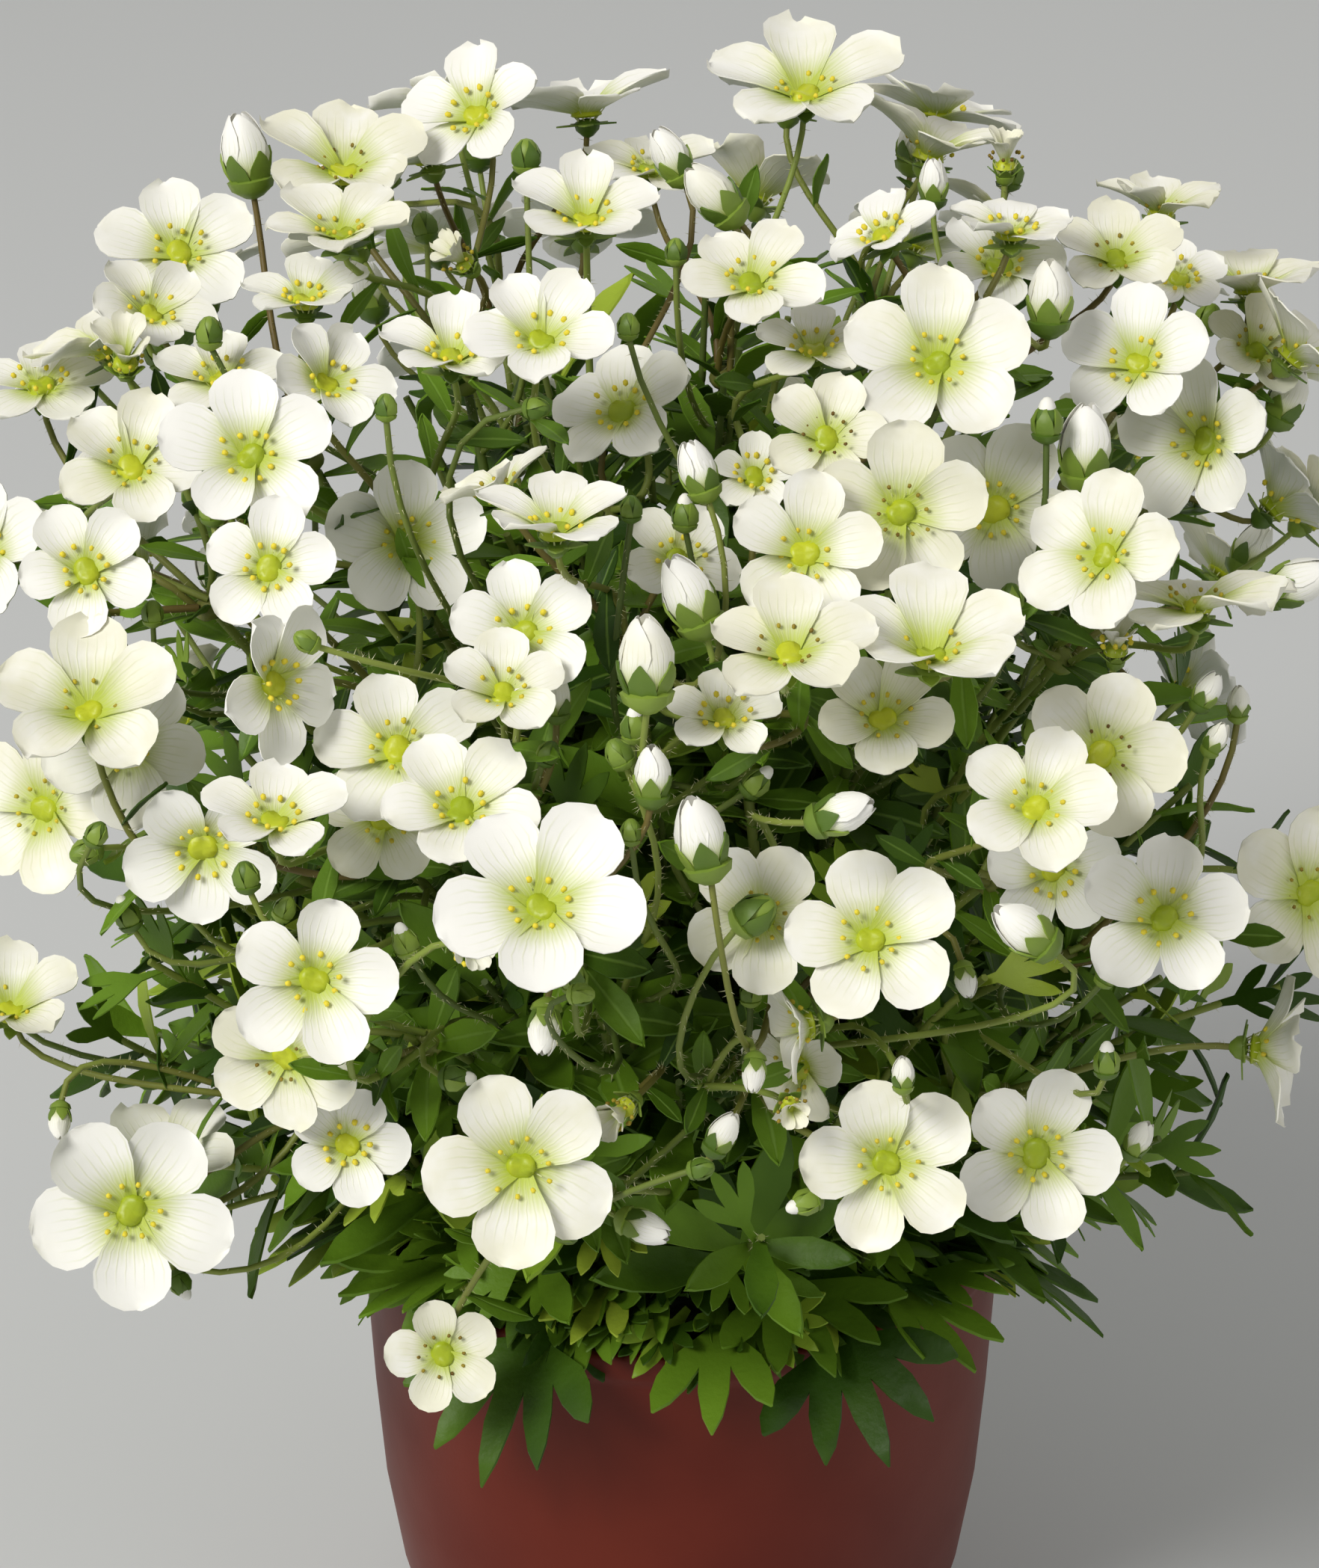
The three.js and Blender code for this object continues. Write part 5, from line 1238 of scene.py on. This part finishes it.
def lay_petals(gathering, bloom):
    frame_of = bloom_basis(bloom)
    shut = max(0.0, (bloom["rise"] - 35) / 30)
    item = bloom["item"]
    for k in range(5):
        lift = math.radians(bloom["rise"] + 14 * (draw(item, 10 + k) - 0.5))
        size = bloom["radius"] * (1.02 + 0.12 * (draw(item, 20 + k) - 0.5))
        flat = min(1, math.cos(lift) * CUP_FLATTENING)
        x, y, z = petal.places.T
        across = x / np.interp(y, *HALF_AT)
        out = np.hypot(x, y)
        broad = 1 + 0.16 * (draw(item, 25 + k) - 0.5) + 0.3 * shut
        turn = np.arctan2(x, np.maximum(y, 0.02)) * broad
        turn += math.radians(bloom["spin"] + 72 * k + 8 * (draw(item, 35 + k) - 0.5))
        rise = out * flat * math.tan(lift) * (1.4 - 0.4 * out)
        spoon = (0.05 + 0.08 * draw(item, 30 + k)) * across ** 2 * np.sin(np.minimum(y, 1) * 2.4)
        wave = 0.03 * np.sin(2.2 * across + 6.28 * draw(item, 40 + k)) * out ** 2
        wave += 0.016 * np.sin(5 * y + 4 * across + 6.28 * draw(item, 50 + k)) * out
        lapped = 0.035 * across * (0.4 + 0.6 * out) * (1 if k % 2 else 0.6)
        droop = -0.3 * draw(item, 60 + k) * np.maximum(0, out - 0.62) ** 1.5
        height = rise + spoon + wave + lapped + droop + z
        places = size * np.stack([out * flat * np.cos(turn), out * flat * np.sin(turn), height], 1)
        gathering.lay(petal, places @ frame_of + bloom["centre"], bloom["age"])


def lay_heart(gathering, bloom):
    frame_of = bloom_basis(bloom)
    centre, normal, item = bloom["centre"], bloom["normal"], bloom["item"]
    grown = min(1.12, 0.5 + bloom["radius"] / 26)
    spin = 6.28 * draw(item, 70)
    gathering.lay(calyx, stood(calyx, (2.0 * grown, 2.0 * grown, 1.9 * grown), normal,
                               centre - normal * 1.6, spin), bloom["age"], SEPAL)
    round_size = (2.4 + 0.5 * draw(item, 69)) * grown
    gathering.lay(ovary, stood(ovary, (round_size, round_size * 0.9, 1.15 * grown), normal,
                               centre + normal * 0.3, spin), draw(item, 71), OVARY)
    for k in range(5):
        turn = math.radians(bloom["spin"] + 36 + 72 * k)
        way = np.array([math.cos(turn), math.sin(turn), 0])
        dip = math.radians(bloom["rise"]) - 0.28
        out = unit(way * math.cos(dip) + SKY * math.sin(dip))
        places = sepal.places[:, [1, 0, 2]] * np.array([1, -1, 1]) * 3.9 * grown
        places = places @ basis(out, np.cross(SKY, way), np.cross(out, np.cross(SKY, way)))
        places = (places + way * 1.3 * grown - SKY * 1.25) @ frame_of + centre
        gathering.lay(sepal, places, draw(item, 72 + k), SEPAL)
    shut = bloom["rise"] > 45
    for k in range(10):
        turn = 2 * math.pi * (k + 0.3 * draw(item, 80 + k)) / 10
        lean = (0.2 if shut else 0.42) + 0.4 * draw(item, 90 + k)
        way = np.array([math.cos(turn) * math.sin(lean), math.sin(turn) * math.sin(lean),
                        math.cos(lean)])
        root = np.array([math.cos(turn), math.sin(turn), 0]) * 2.15 * grown + SKY * 0.3
        length = (2.3 + 1.4 * draw(item, 100 + k)) * grown
        way, root = way @ frame_of, root @ frame_of + centre
        gathering.lay(thread, stood(thread, (0.16, 0.16, length), way, root), 0.5, FILAMENT)
        full = 0.52 - 0.2 * bloom["age"] ** 2
        gathering.lay(anther, stood(anther, (full, full, full * 1.2), way, root + way * length,
                                    draw(item, 110 + k)), 1 - bloom["age"] ** 3, ANTHER)


print("bloom ready")


# %% [markdown]
# ## Buds
# A young bud is a green egg of closed sepals. Later the white petals push through at its tip, and
# at last a white cup stands in its green calyx like a small tulip.
# %% Bud
def wrapped(pattern, round_turn, width, length, wrap, swell, lap):
    """A blade wrapped on an egg: sideways becomes a turn and its length becomes the height."""
    across, along, thick = pattern.places.T
    across = across / np.abs(across).max()
    belly = np.sin(math.pi * np.clip(0.12 + swell * along, 0, 0.985)) ** 0.8
    turn = round_turn + across * wrap
    out = width * (belly + 0.05 * across * lap) + thick * width * 1.5
    return np.stack([out * np.cos(turn), out * np.sin(turn), length * along], 1)


def lay_bud(bud, white, greens, skin):
    """White petals go to the white gathering and the rest to the green one, in its skin."""
    axis, item = bud["axis"], bud["item"]
    x, y = sideways(axis, 0.0), sideways(axis, math.pi / 2)
    frame_of = basis(x, y, axis)
    length = bud["length"]
    base = bud["base"] - axis * 0.4
    width = length * (0.3 if bud["stage"] == 2 else 0.36)
    spin = 6.28 * draw(item, 5)
    if bud["stage"] == 2:
        for k in range(5):
            places = wrapped(petal, spin + 2 * math.pi * k / 5, width * (1 + 0.04 * (k % 2)),
                             length * 0.98, math.radians(60), 0.81 + 0.035 * (k % 3 - 1), 1.0)
            white.lay(petal, places @ frame_of + base + axis * length * 0.04, draw(item, 6) * 0.6)
        white.lay(egg, stood(egg, (width * 0.8, width * 0.8, length * 0.4), axis,
                             base + axis * length * 0.5), 0.5)
    else:
        greens.lay(egg, stood(egg, (width * 0.9, width * 0.9, length * 0.46), axis,
                              base + axis * length * 0.44), draw(item, 7), skin)
        if bud["stage"] == 1:
            white.lay(egg, stood(egg, (width * 0.62, width * 0.62, length * 0.36), axis,
                                 base + axis * length * 0.7), 0.3)
    cup = length * (0.54 if bud["stage"] == 2 else 0.86)
    for k in range(5):
        places = wrapped(sepal, spin + 2 * math.pi * (k + 0.5) / 5, width * 1.07, cup,
                         math.radians(38), 0.42 if bud["stage"] == 2 else 0.8, 0.6)
        greens.lay(sepal, places @ frame_of + base, draw(item, 8 + k), skin)
    greens.lay(calyx, stood(calyx, (width * 0.95, width * 0.95, length * 0.2), axis,
                            base + axis * length * 0.1), draw(item, 7), skin)


def lay_stalk(gathering, path, radius, sides, rings, skin, hair_skin, tone, per_mm=1.1):
    points = path.at(np.linspace(0, 1, rings))
    radii = np.linspace(radius, radius * 0.82, rings)
    sweep = Sweep(points, radii, sides)
    gathering.lay(sweep, sweep.places, tone, skin)
    add_hairs(gathering, points, radii, per_mm, HAIR_LENGTH, hair_skin)


print("bud ready")

# %% [markdown]
# ## Leaves
# A leaf springs from its stalk at a slant, its upper face turned to the light, and droops a
# little towards its tip. The margins of its blade stand up slightly, which makes a shallow
# trough. Along a stalk the leaves follow each other by the golden angle.
# %% Leaf
TROUGH = 0.35


def lay_leaf(gathering, pattern, root, way, face, length, droop, tone, skin):
    """A leaf from its root, along a way, with its upper face towards another."""
    x, y, z = (pattern.places * length).T
    z = z - droop * y ** 2 / length + TROUGH * x ** 2 / length
    gathering.lay(pattern, np.stack([x, y, z], 1) @ basis(np.cross(way, face), way, face) + root,
                  tone, skin)


def lay_leaf_on(gathering, path, place, seed, k, pattern, length, skin, slant=(42, 26)):
    """A leaf on a stalk, the k-th in its spiral."""
    tangent = path.way(place)
    side = sideways(tangent, seed + k * GOLDEN)
    lean = math.radians(slant[0] + slant[1] * draw(seed * 50 + k, 31))
    way = tangent * math.cos(lean) + side * math.sin(lean)
    face = unit(tangent - way * tangent.dot(way))
    lay_leaf(gathering, pattern, path.at(place)[0], way, face, length,
             0.05 + 0.3 * draw(seed * 50 + k, 33), draw(seed * 50 + k, 34), skin)


print("leaf ready")

# %% [markdown]
# ## Heads
# Each head becomes two pieces: its white petals, and its green pedicels with calyces, hearts,
# sepals and bracts, which are small leaves under the forks. Together they stand for the head's
# plain solid.
# %% Heads made
LEAST_BUD = 4.0
FORK_BRACTS = 5
BRACT_GAP = 13
triangles = 0
for head in all_heads:
    white, green = Gathering(head["name"] + "_petals"), Gathering(head["name"] + "_stalks")
    knot = head["fork"] + head["outward"] * KNOT_LENGTH * 0.4
    wide = head["ring"] + KNOT_EDGE * 0.55
    green.lay(egg, stood(egg, (wide, wide, KNOT_LENGTH * 0.55), head["outward"], knot), 0.5, STALK)
    for k in range(FORK_BRACTS):
        seed = head["blooms"][0]["item"] if head["blooms"] else head["buds"][0]["item"]
        side = sideways(head["outward"], seed + k * GOLDEN)
        way = unit(head["outward"] * (0.5 + 0.5 * draw(seed + k, 35)) + side)
        face = unit(head["outward"] - way * head["outward"].dot(way))
        lay_leaf(green, stem_leaf, head["fork"] + head["outward"], way, face,
                 10 + 7 * draw(seed + k, 36), 0.15, draw(seed + k, 37), BRACT)
    for bloom in head["blooms"]:
        bloom["age"] = draw(bloom["item"], 3)
        bracts = int(bloom["path"].lengths[-1] / BRACT_GAP)
        for k in range(bracts):
            lay_leaf_on(green, bloom["path"], 0.08 + 0.62 * (k + draw(bloom["item"], 39)) / bracts,
                        bloom["item"], k, stem_leaf, 9 + 5 * draw(bloom["item"] + k, 48), BRACT)
        lay_petals(white, bloom)
        lay_heart(green, bloom)
        lay_stalk(green, bloom["path"], PEDICEL_RADIUS * 0.76, 6, 11, STALK, HAIR,
                  draw(bloom["item"], 4))
    for bud in head["buds"]:
        if bud["stage"] == 2 and bud["length"] >= LEAST_BUD:
            lay_bud(bud, white, green, SEPAL)
            lay_stalk(green, bud["path"], PEDICEL_RADIUS * 0.72, 6, 11, STALK, HAIR,
                      draw(bud["item"], 4))
    white.make([petal_white], "petals", [head["name"]])
    green.make(HEAD_SKINS, "stems", [head["name"]])
    triangles += white.triangles + green.triangles
print("heads:", len(all_heads), "triangles:", triangles)

# %% [markdown]
# ## Leafy stems
# A stem tapers from the soil to its head. Its lance-shaped leaves stand off at a slant, each
# turned by the golden angle from the last, and the small green buds spring from it on stalks.
# %% Leafy stems made
LEAF_GAP = 4.5
STEM_SKINS = [stem_green, sepal_green, hair_pale, stem_leaf_green]
STEM, BUD_SEPAL, STEM_HAIR, STEM_LEAF = range(4)
leaf_count = 0
for index, stem in enumerate(stems):
    green, white = Gathering(stem["name"] + "_leafy"), Gathering(stem["name"] + "_tips")
    for branch, (path, head) in enumerate(zip(stem["paths"], stem["heads"])):
        lay_stalk(green, path, STEM_RADIUS * 0.62, 8, 26, STEM, STEM_HAIR,
                  draw(index, 1), per_mm=2.4)
        first = 0.12 if branch else 0.14
        seed = index * 2 + branch + 1
        count = max(2, round(path.lengths[-1] * (1 - first) / LEAF_GAP))
        for k in range(count):
            place = first + (0.97 - first) * (k + 0.5) / count
            length = (22 - 7 * place) * (0.75 + 0.5 * draw(seed * 50 + k, 32))
            lobed = draw(seed * 50 + k, 30) < 0.45 - 0.6 * place
            lay_leaf_on(green, path, place, seed, k, plain_leaf if lobed else stem_leaf, length,
                        STEM_LEAF)
            leaf_count += 1
    for head in stem["heads"]:
        for bud in head["buds"]:
            if bud["stage"] < 2:
                lay_bud(bud, white, green, BUD_SEPAL)
                lay_stalk(green, bud["path"], PEDICEL_RADIUS * 0.7, 6, 11, STEM, STEM_HAIR,
                          draw(bud["item"], 4))
    green.make(STEM_SKINS, "stems", [stem["name"]])
    triangles += green.triangles
    if white.count:
        white.make([petal_white], "petals", [stem["name"]])
        triangles += white.triangles
print("stem leaves:", leaf_count, "triangles so far:", triangles)

# %% [markdown]
# ## The cushion
# The basal leaves crowd out of the pot's mouth all over, upright in the middle and drooping over
# the rim. They are laid by the golden angle, as the solids' leaves are, with finer ones between.
# %% Cushion made
BASAL_COUNT, BASAL_LENGTH, BASAL_SPREAD = 66, 21, 8
CUSHION_RADIUS, CORE_TOP = 56, 109
FILL_COUNT, FILL_SIZE = 420, 0.56
cushion = Gathering("cushion_leaves")
for k in range(BASAL_COUNT + FILL_COUNT):
    filler = k >= BASAL_COUNT
    number = k - BASAL_COUNT + 0.35 if filler else k
    share = math.sqrt((number + 0.5) / (FILL_COUNT if filler else BASAL_COUNT))
    outward = turned(RIGHT, SKY, number * GOLDEN)
    climb = 1.15 - 1.3 * share + (1.3 if filler else 0.35) * (draw(k, 41) - 0.5)
    astray = (1.4 if filler else 0.8) * (draw(k, 42) - 0.5)
    way = unit(outward + SKY * climb + np.cross(SKY, outward) * astray)
    face = turned(unit(SKY - way * way[2]), way, (1.6 if filler else 0.9) * (draw(k, 43) - 0.5))
    length = (BASAL_LENGTH + BASAL_SPREAD * draw(k, 44) + 5 * share) * (FILL_SIZE if filler else 1)
    root = outward * (share * CUSHION_RADIUS - 5) + SKY * (CORE_TOP - 13 * share ** 3 - 3)
    lay_leaf(cushion, wide_leaf if draw(k, 45) < 0.6 else plain_leaf, root, way, face,
             length * (0.82 + 0.25 * draw(k, 48)), 0.1 + 0.5 * share * draw(k, 46), draw(k, 47), 0)
cushion.make([basal_green], "leaves", ["cushion"])
triangles += cushion.triangles
print("cushion triangles:", cushion.triangles)

# %% [markdown]
# ## Leafy shoots
# Between the flowering stems a mossy saxifrage sends up many shoots that bear no bloom, each a
# soft tuft of leaves. They fill the plant under its blooms with a green dome, and low ones lean
# out over the rim. They are made as three pieces, so that no mesh grows too heavy.
# %% Shoots made
SHOOT_COUNT, SHOOT_LEAVES = 170, 13
SHOOT_ROOTS, SHOOT_REACH = 46, 100
SHOOT_FOOT, SHOOT_LOW, SHOOT_HIGH = 86, 106, 256
INNER_SHARE = 0.72
SIDE_COUNT, SIDE_NEAR, SIDE_SPREAD = 44, 80, 22
SIDE_LOW, SIDE_CLIMB, SIDE_FRONT = 102, 46, -0.35
SHOOT_SKINS = [basal_green, stem_green, hair_pale]
SHOOT_LEAF, SHOOT_STALK, SHOOT_HAIR = range(3)


def lay_shoot(shoots, k, foot, top, lean):
    """A shoot from the cushion's foot to its tip, where it leans a given way."""
    reach = np.linalg.norm(top - foot) / 3
    path = Path(foot, foot + SKY * reach, top - unit(lean) * reach, top)
    lay_stalk(shoots, path, 0.75, 6, 9, SHOOT_STALK, SHOOT_HAIR, draw(k, 122), per_mm=0.8)
    for j in range(SHOOT_LEAVES):
        place = 0.3 + 0.69 * (j + 0.5) / SHOOT_LEAVES
        kind = int(5 * draw(k * 20 + j, 123))
        pattern = (plain_leaf, plain_leaf, stem_leaf, stem_leaf, stem_leaf)[kind]
        size = 1.2 if pattern is stem_leaf else 0.95
        lay_leaf_on(shoots, path, place, k * 20 + 7, j, pattern,
                    size * (19 - 4 * place) * (0.8 + 0.4 * draw(k * 20 + j, 124)), SHOOT_LEAF,
                    (25, 40))


def dome_shoot(shoots, k):
    """The k-th shoot of the dome, which is highest in its middle."""
    share = math.sqrt((k + 0.5) / SHOOT_COUNT)
    outward = turned(RIGHT, SKY, k * GOLDEN + 0.8)
    foot = outward * SHOOT_ROOTS * share + SKY * SHOOT_FOOT
    high = SHOOT_LOW + (SHOOT_HIGH - SHOOT_LOW) * math.sqrt(1 - 0.99 * share ** 2)
    deep = 1 - 0.45 * draw(k, 121) ** 1.6
    top = outward * SHOOT_REACH * share * deep
    top = top + SKY * (SHOOT_FOOT + (high - SHOOT_FOOT) * deep)
    lay_shoot(shoots, k, foot, top, outward * share + SKY * 0.8)


def side_shoot(shoots, k):
    """A low shoot that leans out over the rim, at the sides and the back alone."""
    outward = turned(RIGHT, SKY, k * GOLDEN + 0.2)
    if outward[1] < SIDE_FRONT:
        return
    foot = outward * SHOOT_ROOTS + SKY * SHOOT_FOOT
    top = outward * (SIDE_NEAR + SIDE_SPREAD * draw(k, 131))
    top = top + SKY * (SIDE_LOW + SIDE_CLIMB * draw(k, 132))
    lay_shoot(shoots, SHOOT_COUNT + k, foot, top, outward + SKY * 0.3)


inner_count = sum(math.sqrt((k + 0.5) / SHOOT_COUNT) < INNER_SHARE for k in range(SHOOT_COUNT))
for name, lay, numbers in (
        ("cushion_inner_shoots", dome_shoot, range(inner_count)),
        ("cushion_outer_shoots", dome_shoot, range(inner_count, SHOOT_COUNT)),
        ("cushion_side_shoots", side_shoot, range(SIDE_COUNT))):
    shoots = Gathering(name)
    for k in numbers:
        lay(shoots, k)
    shoots.make(SHOOT_SKINS, "leaves", ["cushion"])
    triangles += shoots.triangles
    print(name, "triangles:", shoots.triangles)

# %% [markdown]
# ## The heart of the cushion
# Under the leaves the stalks are packed tightly and the cushion's inside lies deep in shade. A ball
# is flattened into the pot's mouth and roughened, so that no smooth lump shows between the leaves;
# its near-black green is painted shade for that shadow.
# %% Cushion heart made
begin(bpy.ops.mesh.primitive_uv_sphere_add, segments=48, ring_count=24, radius=0.052,
      location=(0, 0, 0.0915))
pick(lambda at: True)
bpy.ops.transform.resize(value=(1, 1, 0.3), center_override=(0, 0, 0.0915))
pick(lambda at: at.z < 0.0915)
bpy.ops.transform.resize(value=(0.94, 0.94, 0.5), center_override=(0, 0, 0.0915))
bpy.ops.mesh.select_all(action="DESELECT")
heart = finish(smooth_levels=1)
heart.name = heart.data.name = "cushion_heart"
rough = bpy.data.textures.new("rough", "CLOUDS")
rough.noise_scale = 0.006
lumps = heart.modifiers.new("lumps", "DISPLACE")
lumps.texture, lumps.texture_coords, lumps.strength = rough, "GLOBAL", 0.007
bpy.ops.object.modifier_apply(modifier=lumps.name)
bpy.ops.object.transform_apply(location=True, rotation=True, scale=True)
bpy.ops.object.shade_smooth()
heart.data.materials.append(painted_shade_core)
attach(heart, "root")
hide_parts("cushion")
print("heart faces:", len(heart.data.polygons))

# %% [markdown]
# ## The pot
# A thin-walled plastic nursery pot, smooth and satin, in a terracotta brown. Its wall is one
# profile turned round an axis. The spin operator turns an outline of edges in many fine steps,
# which rounds the plain solid's few sides.
# %% Pot
POT_OUTLINE = [(0, 0), (36.6, 0), (38, 0.5), (42.2, 2.2), (43.4, 3.6), (47, 13), (49.6, 22),
               (52.2, 38), (53.7, 56.6), (55.2, 83.4), (55.4, 84.6), (56.1, 85.4), (56.2, 86),
               (56.2, 89), (55.9, 89.7), (55.2, 90), (53.6, 90), (53.2, 89.6), (52.9, 84),
               (51.5, 56.6), (47.4, 22), (40.4, 3.2), (0, 3)]
SPIN_STEPS = 96


def spun_pot():
    mesh = bpy.data.meshes.new("pot_shell")
    mesh.from_pydata([(radius * MM, 0, height * MM) for radius, height in POT_OUTLINE],
                     [(k, k + 1) for k in range(len(POT_OUTLINE) - 1)], [])
    piece = bpy.data.objects.new("pot_shell", mesh)
    bpy.context.scene.collection.objects.link(piece)
    bpy.ops.object.select_all(action="DESELECT")
    bpy.context.view_layer.objects.active = piece
    piece.select_set(True)
    bpy.ops.object.mode_set(mode="EDIT")
    bpy.ops.mesh.select_all(action="SELECT")
    bpy.ops.mesh.spin(steps=SPIN_STEPS, angle=2 * math.pi, center=(0, 0, 0), axis=(0, 0, 1))
    bpy.ops.mesh.select_all(action="SELECT")
    bpy.ops.mesh.remove_doubles(threshold=0.00001)
    bpy.ops.mesh.normals_make_consistent(inside=False)
    bpy.ops.object.mode_set(mode="OBJECT")
    bpy.ops.object.shade_smooth_by_angle(angle=math.radians(50))
    return piece


def pot_skin():
    skin, tree, shader = new_skin("pot plastic", Specular_IOR_Level=0.25)
    place = node(tree, "ShaderNodeTexCoord").outputs["Object"]
    cloud = node(tree, "ShaderNodeTexNoise", {"Vector": place, "Scale": 22.0, "Detail": 4.0})
    colour = mixed(tree, eased(tree, cloud.outputs["Fac"], 0.3, 0.7), linear(106, 40, 25),
                   linear(94, 33, 20))
    tree.links.new(colour, shader.inputs["Base Color"])
    worn = eased(tree, cloud.outputs["Fac"], 0.25, 0.75, 0.4, 0.52)
    tree.links.new(worn, shader.inputs["Roughness"])
    grain = node(tree, "ShaderNodeTexNoise", {"Vector": place, "Scale": 1400.0, "Detail": 2.0})
    raised = node(tree, "ShaderNodeBump", {"Height": grain.outputs["Fac"], "Strength": 0.08,
                                           "Distance": 0.0002})
    tree.links.new(raised.outputs["Normal"], shader.inputs["Normal"])
    return skin


pot = spun_pot()
pot.data.materials.append(pot_skin())
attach(pot, "root")
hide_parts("pot")
print("pot faces:", len(pot.data.polygons))

# %% [markdown]
# ## The soil
# The soil keeps its own solid, hidden under the leaves, and gets a dark crumbly finish.
# %% Soil
soil_skin, tree, shader = new_skin("soil", Roughness=0.95)
place = node(tree, "ShaderNodeTexCoord").outputs["Object"]
crumbs = node(tree, "ShaderNodeTexNoise", {"Vector": place, "Scale": 320.0, "Detail": 6.0})
colour = mixed(tree, eased(tree, crumbs.outputs["Fac"], 0.35, 0.65), linear(40, 28, 20),
               linear(84, 62, 44))
tree.links.new(colour, shader.inputs["Base Color"])
raised = node(tree, "ShaderNodeBump", {"Height": crumbs.outputs["Fac"], "Strength": 0.9,
                                       "Distance": 0.002})
tree.links.new(raised.outputs["Normal"], shader.inputs["Normal"])
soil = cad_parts["soil"]
for k in range(len(soil.material_slots)):
    soil.material_slots[k].material = soil_skin
print("soil slots:", len(soil.material_slots))

# %% [markdown]
# ## The studio
# A pale floor that runs on behind the plant, and soft light: a large lamp from the upper left in
# front, a weaker one from the right, and a pale sky that fills the shadows.
# %% Studio
bpy.ops.mesh.primitive_plane_add(size=8, location=(0, 1.5, 0))
floor = bpy.context.object
floor.name = "floor"
floor_skin, tree, shader = new_skin("floor", Roughness=0.9)
shader.inputs["Base Color"].default_value = linear(211, 213, 213)
floor.data.materials.append(floor_skin)


def add_lamp(name, place, target, size, power, colour=(1, 1, 1)):
    lamp = bpy.data.lights.new(name, "AREA")
    lamp.shape, lamp.size, lamp.energy, lamp.color = "DISK", size, power, colour
    thing = bpy.data.objects.new(name, lamp)
    thing.location = place
    thing.rotation_euler = (Vector(target) - Vector(place)).to_track_quat("-Z", "Y").to_euler()
    bpy.context.scene.collection.objects.link(thing)


add_lamp("key", (-1.5, -1.7, 2.1), (0, 0, 0.17), 1.2, 66, (1, 0.985, 0.955))
add_lamp("fill", (1.1, -0.8, 0.7), (0, 0, 0.17), 1.0, 2)
add_lamp("back", (0.3, 1.2, 1.2), (0, 0, 0.2), 0.9, 2.5)
world = bpy.data.worlds.new("sky")
world.use_nodes = True
world.node_tree.nodes["Background"].inputs["Color"].default_value = (1.0, 0.985, 0.95, 1)
world.node_tree.nodes["Background"].inputs["Strength"].default_value = 0.3
bpy.context.scene.world = world
bpy.context.scene.view_settings.view_transform = "Standard"
print("lamps:", 3)

# %% [markdown]
# ## Size
# The triangles of all the finished pieces are added up and printed.
# %% Size
print("triangles:", triangles)
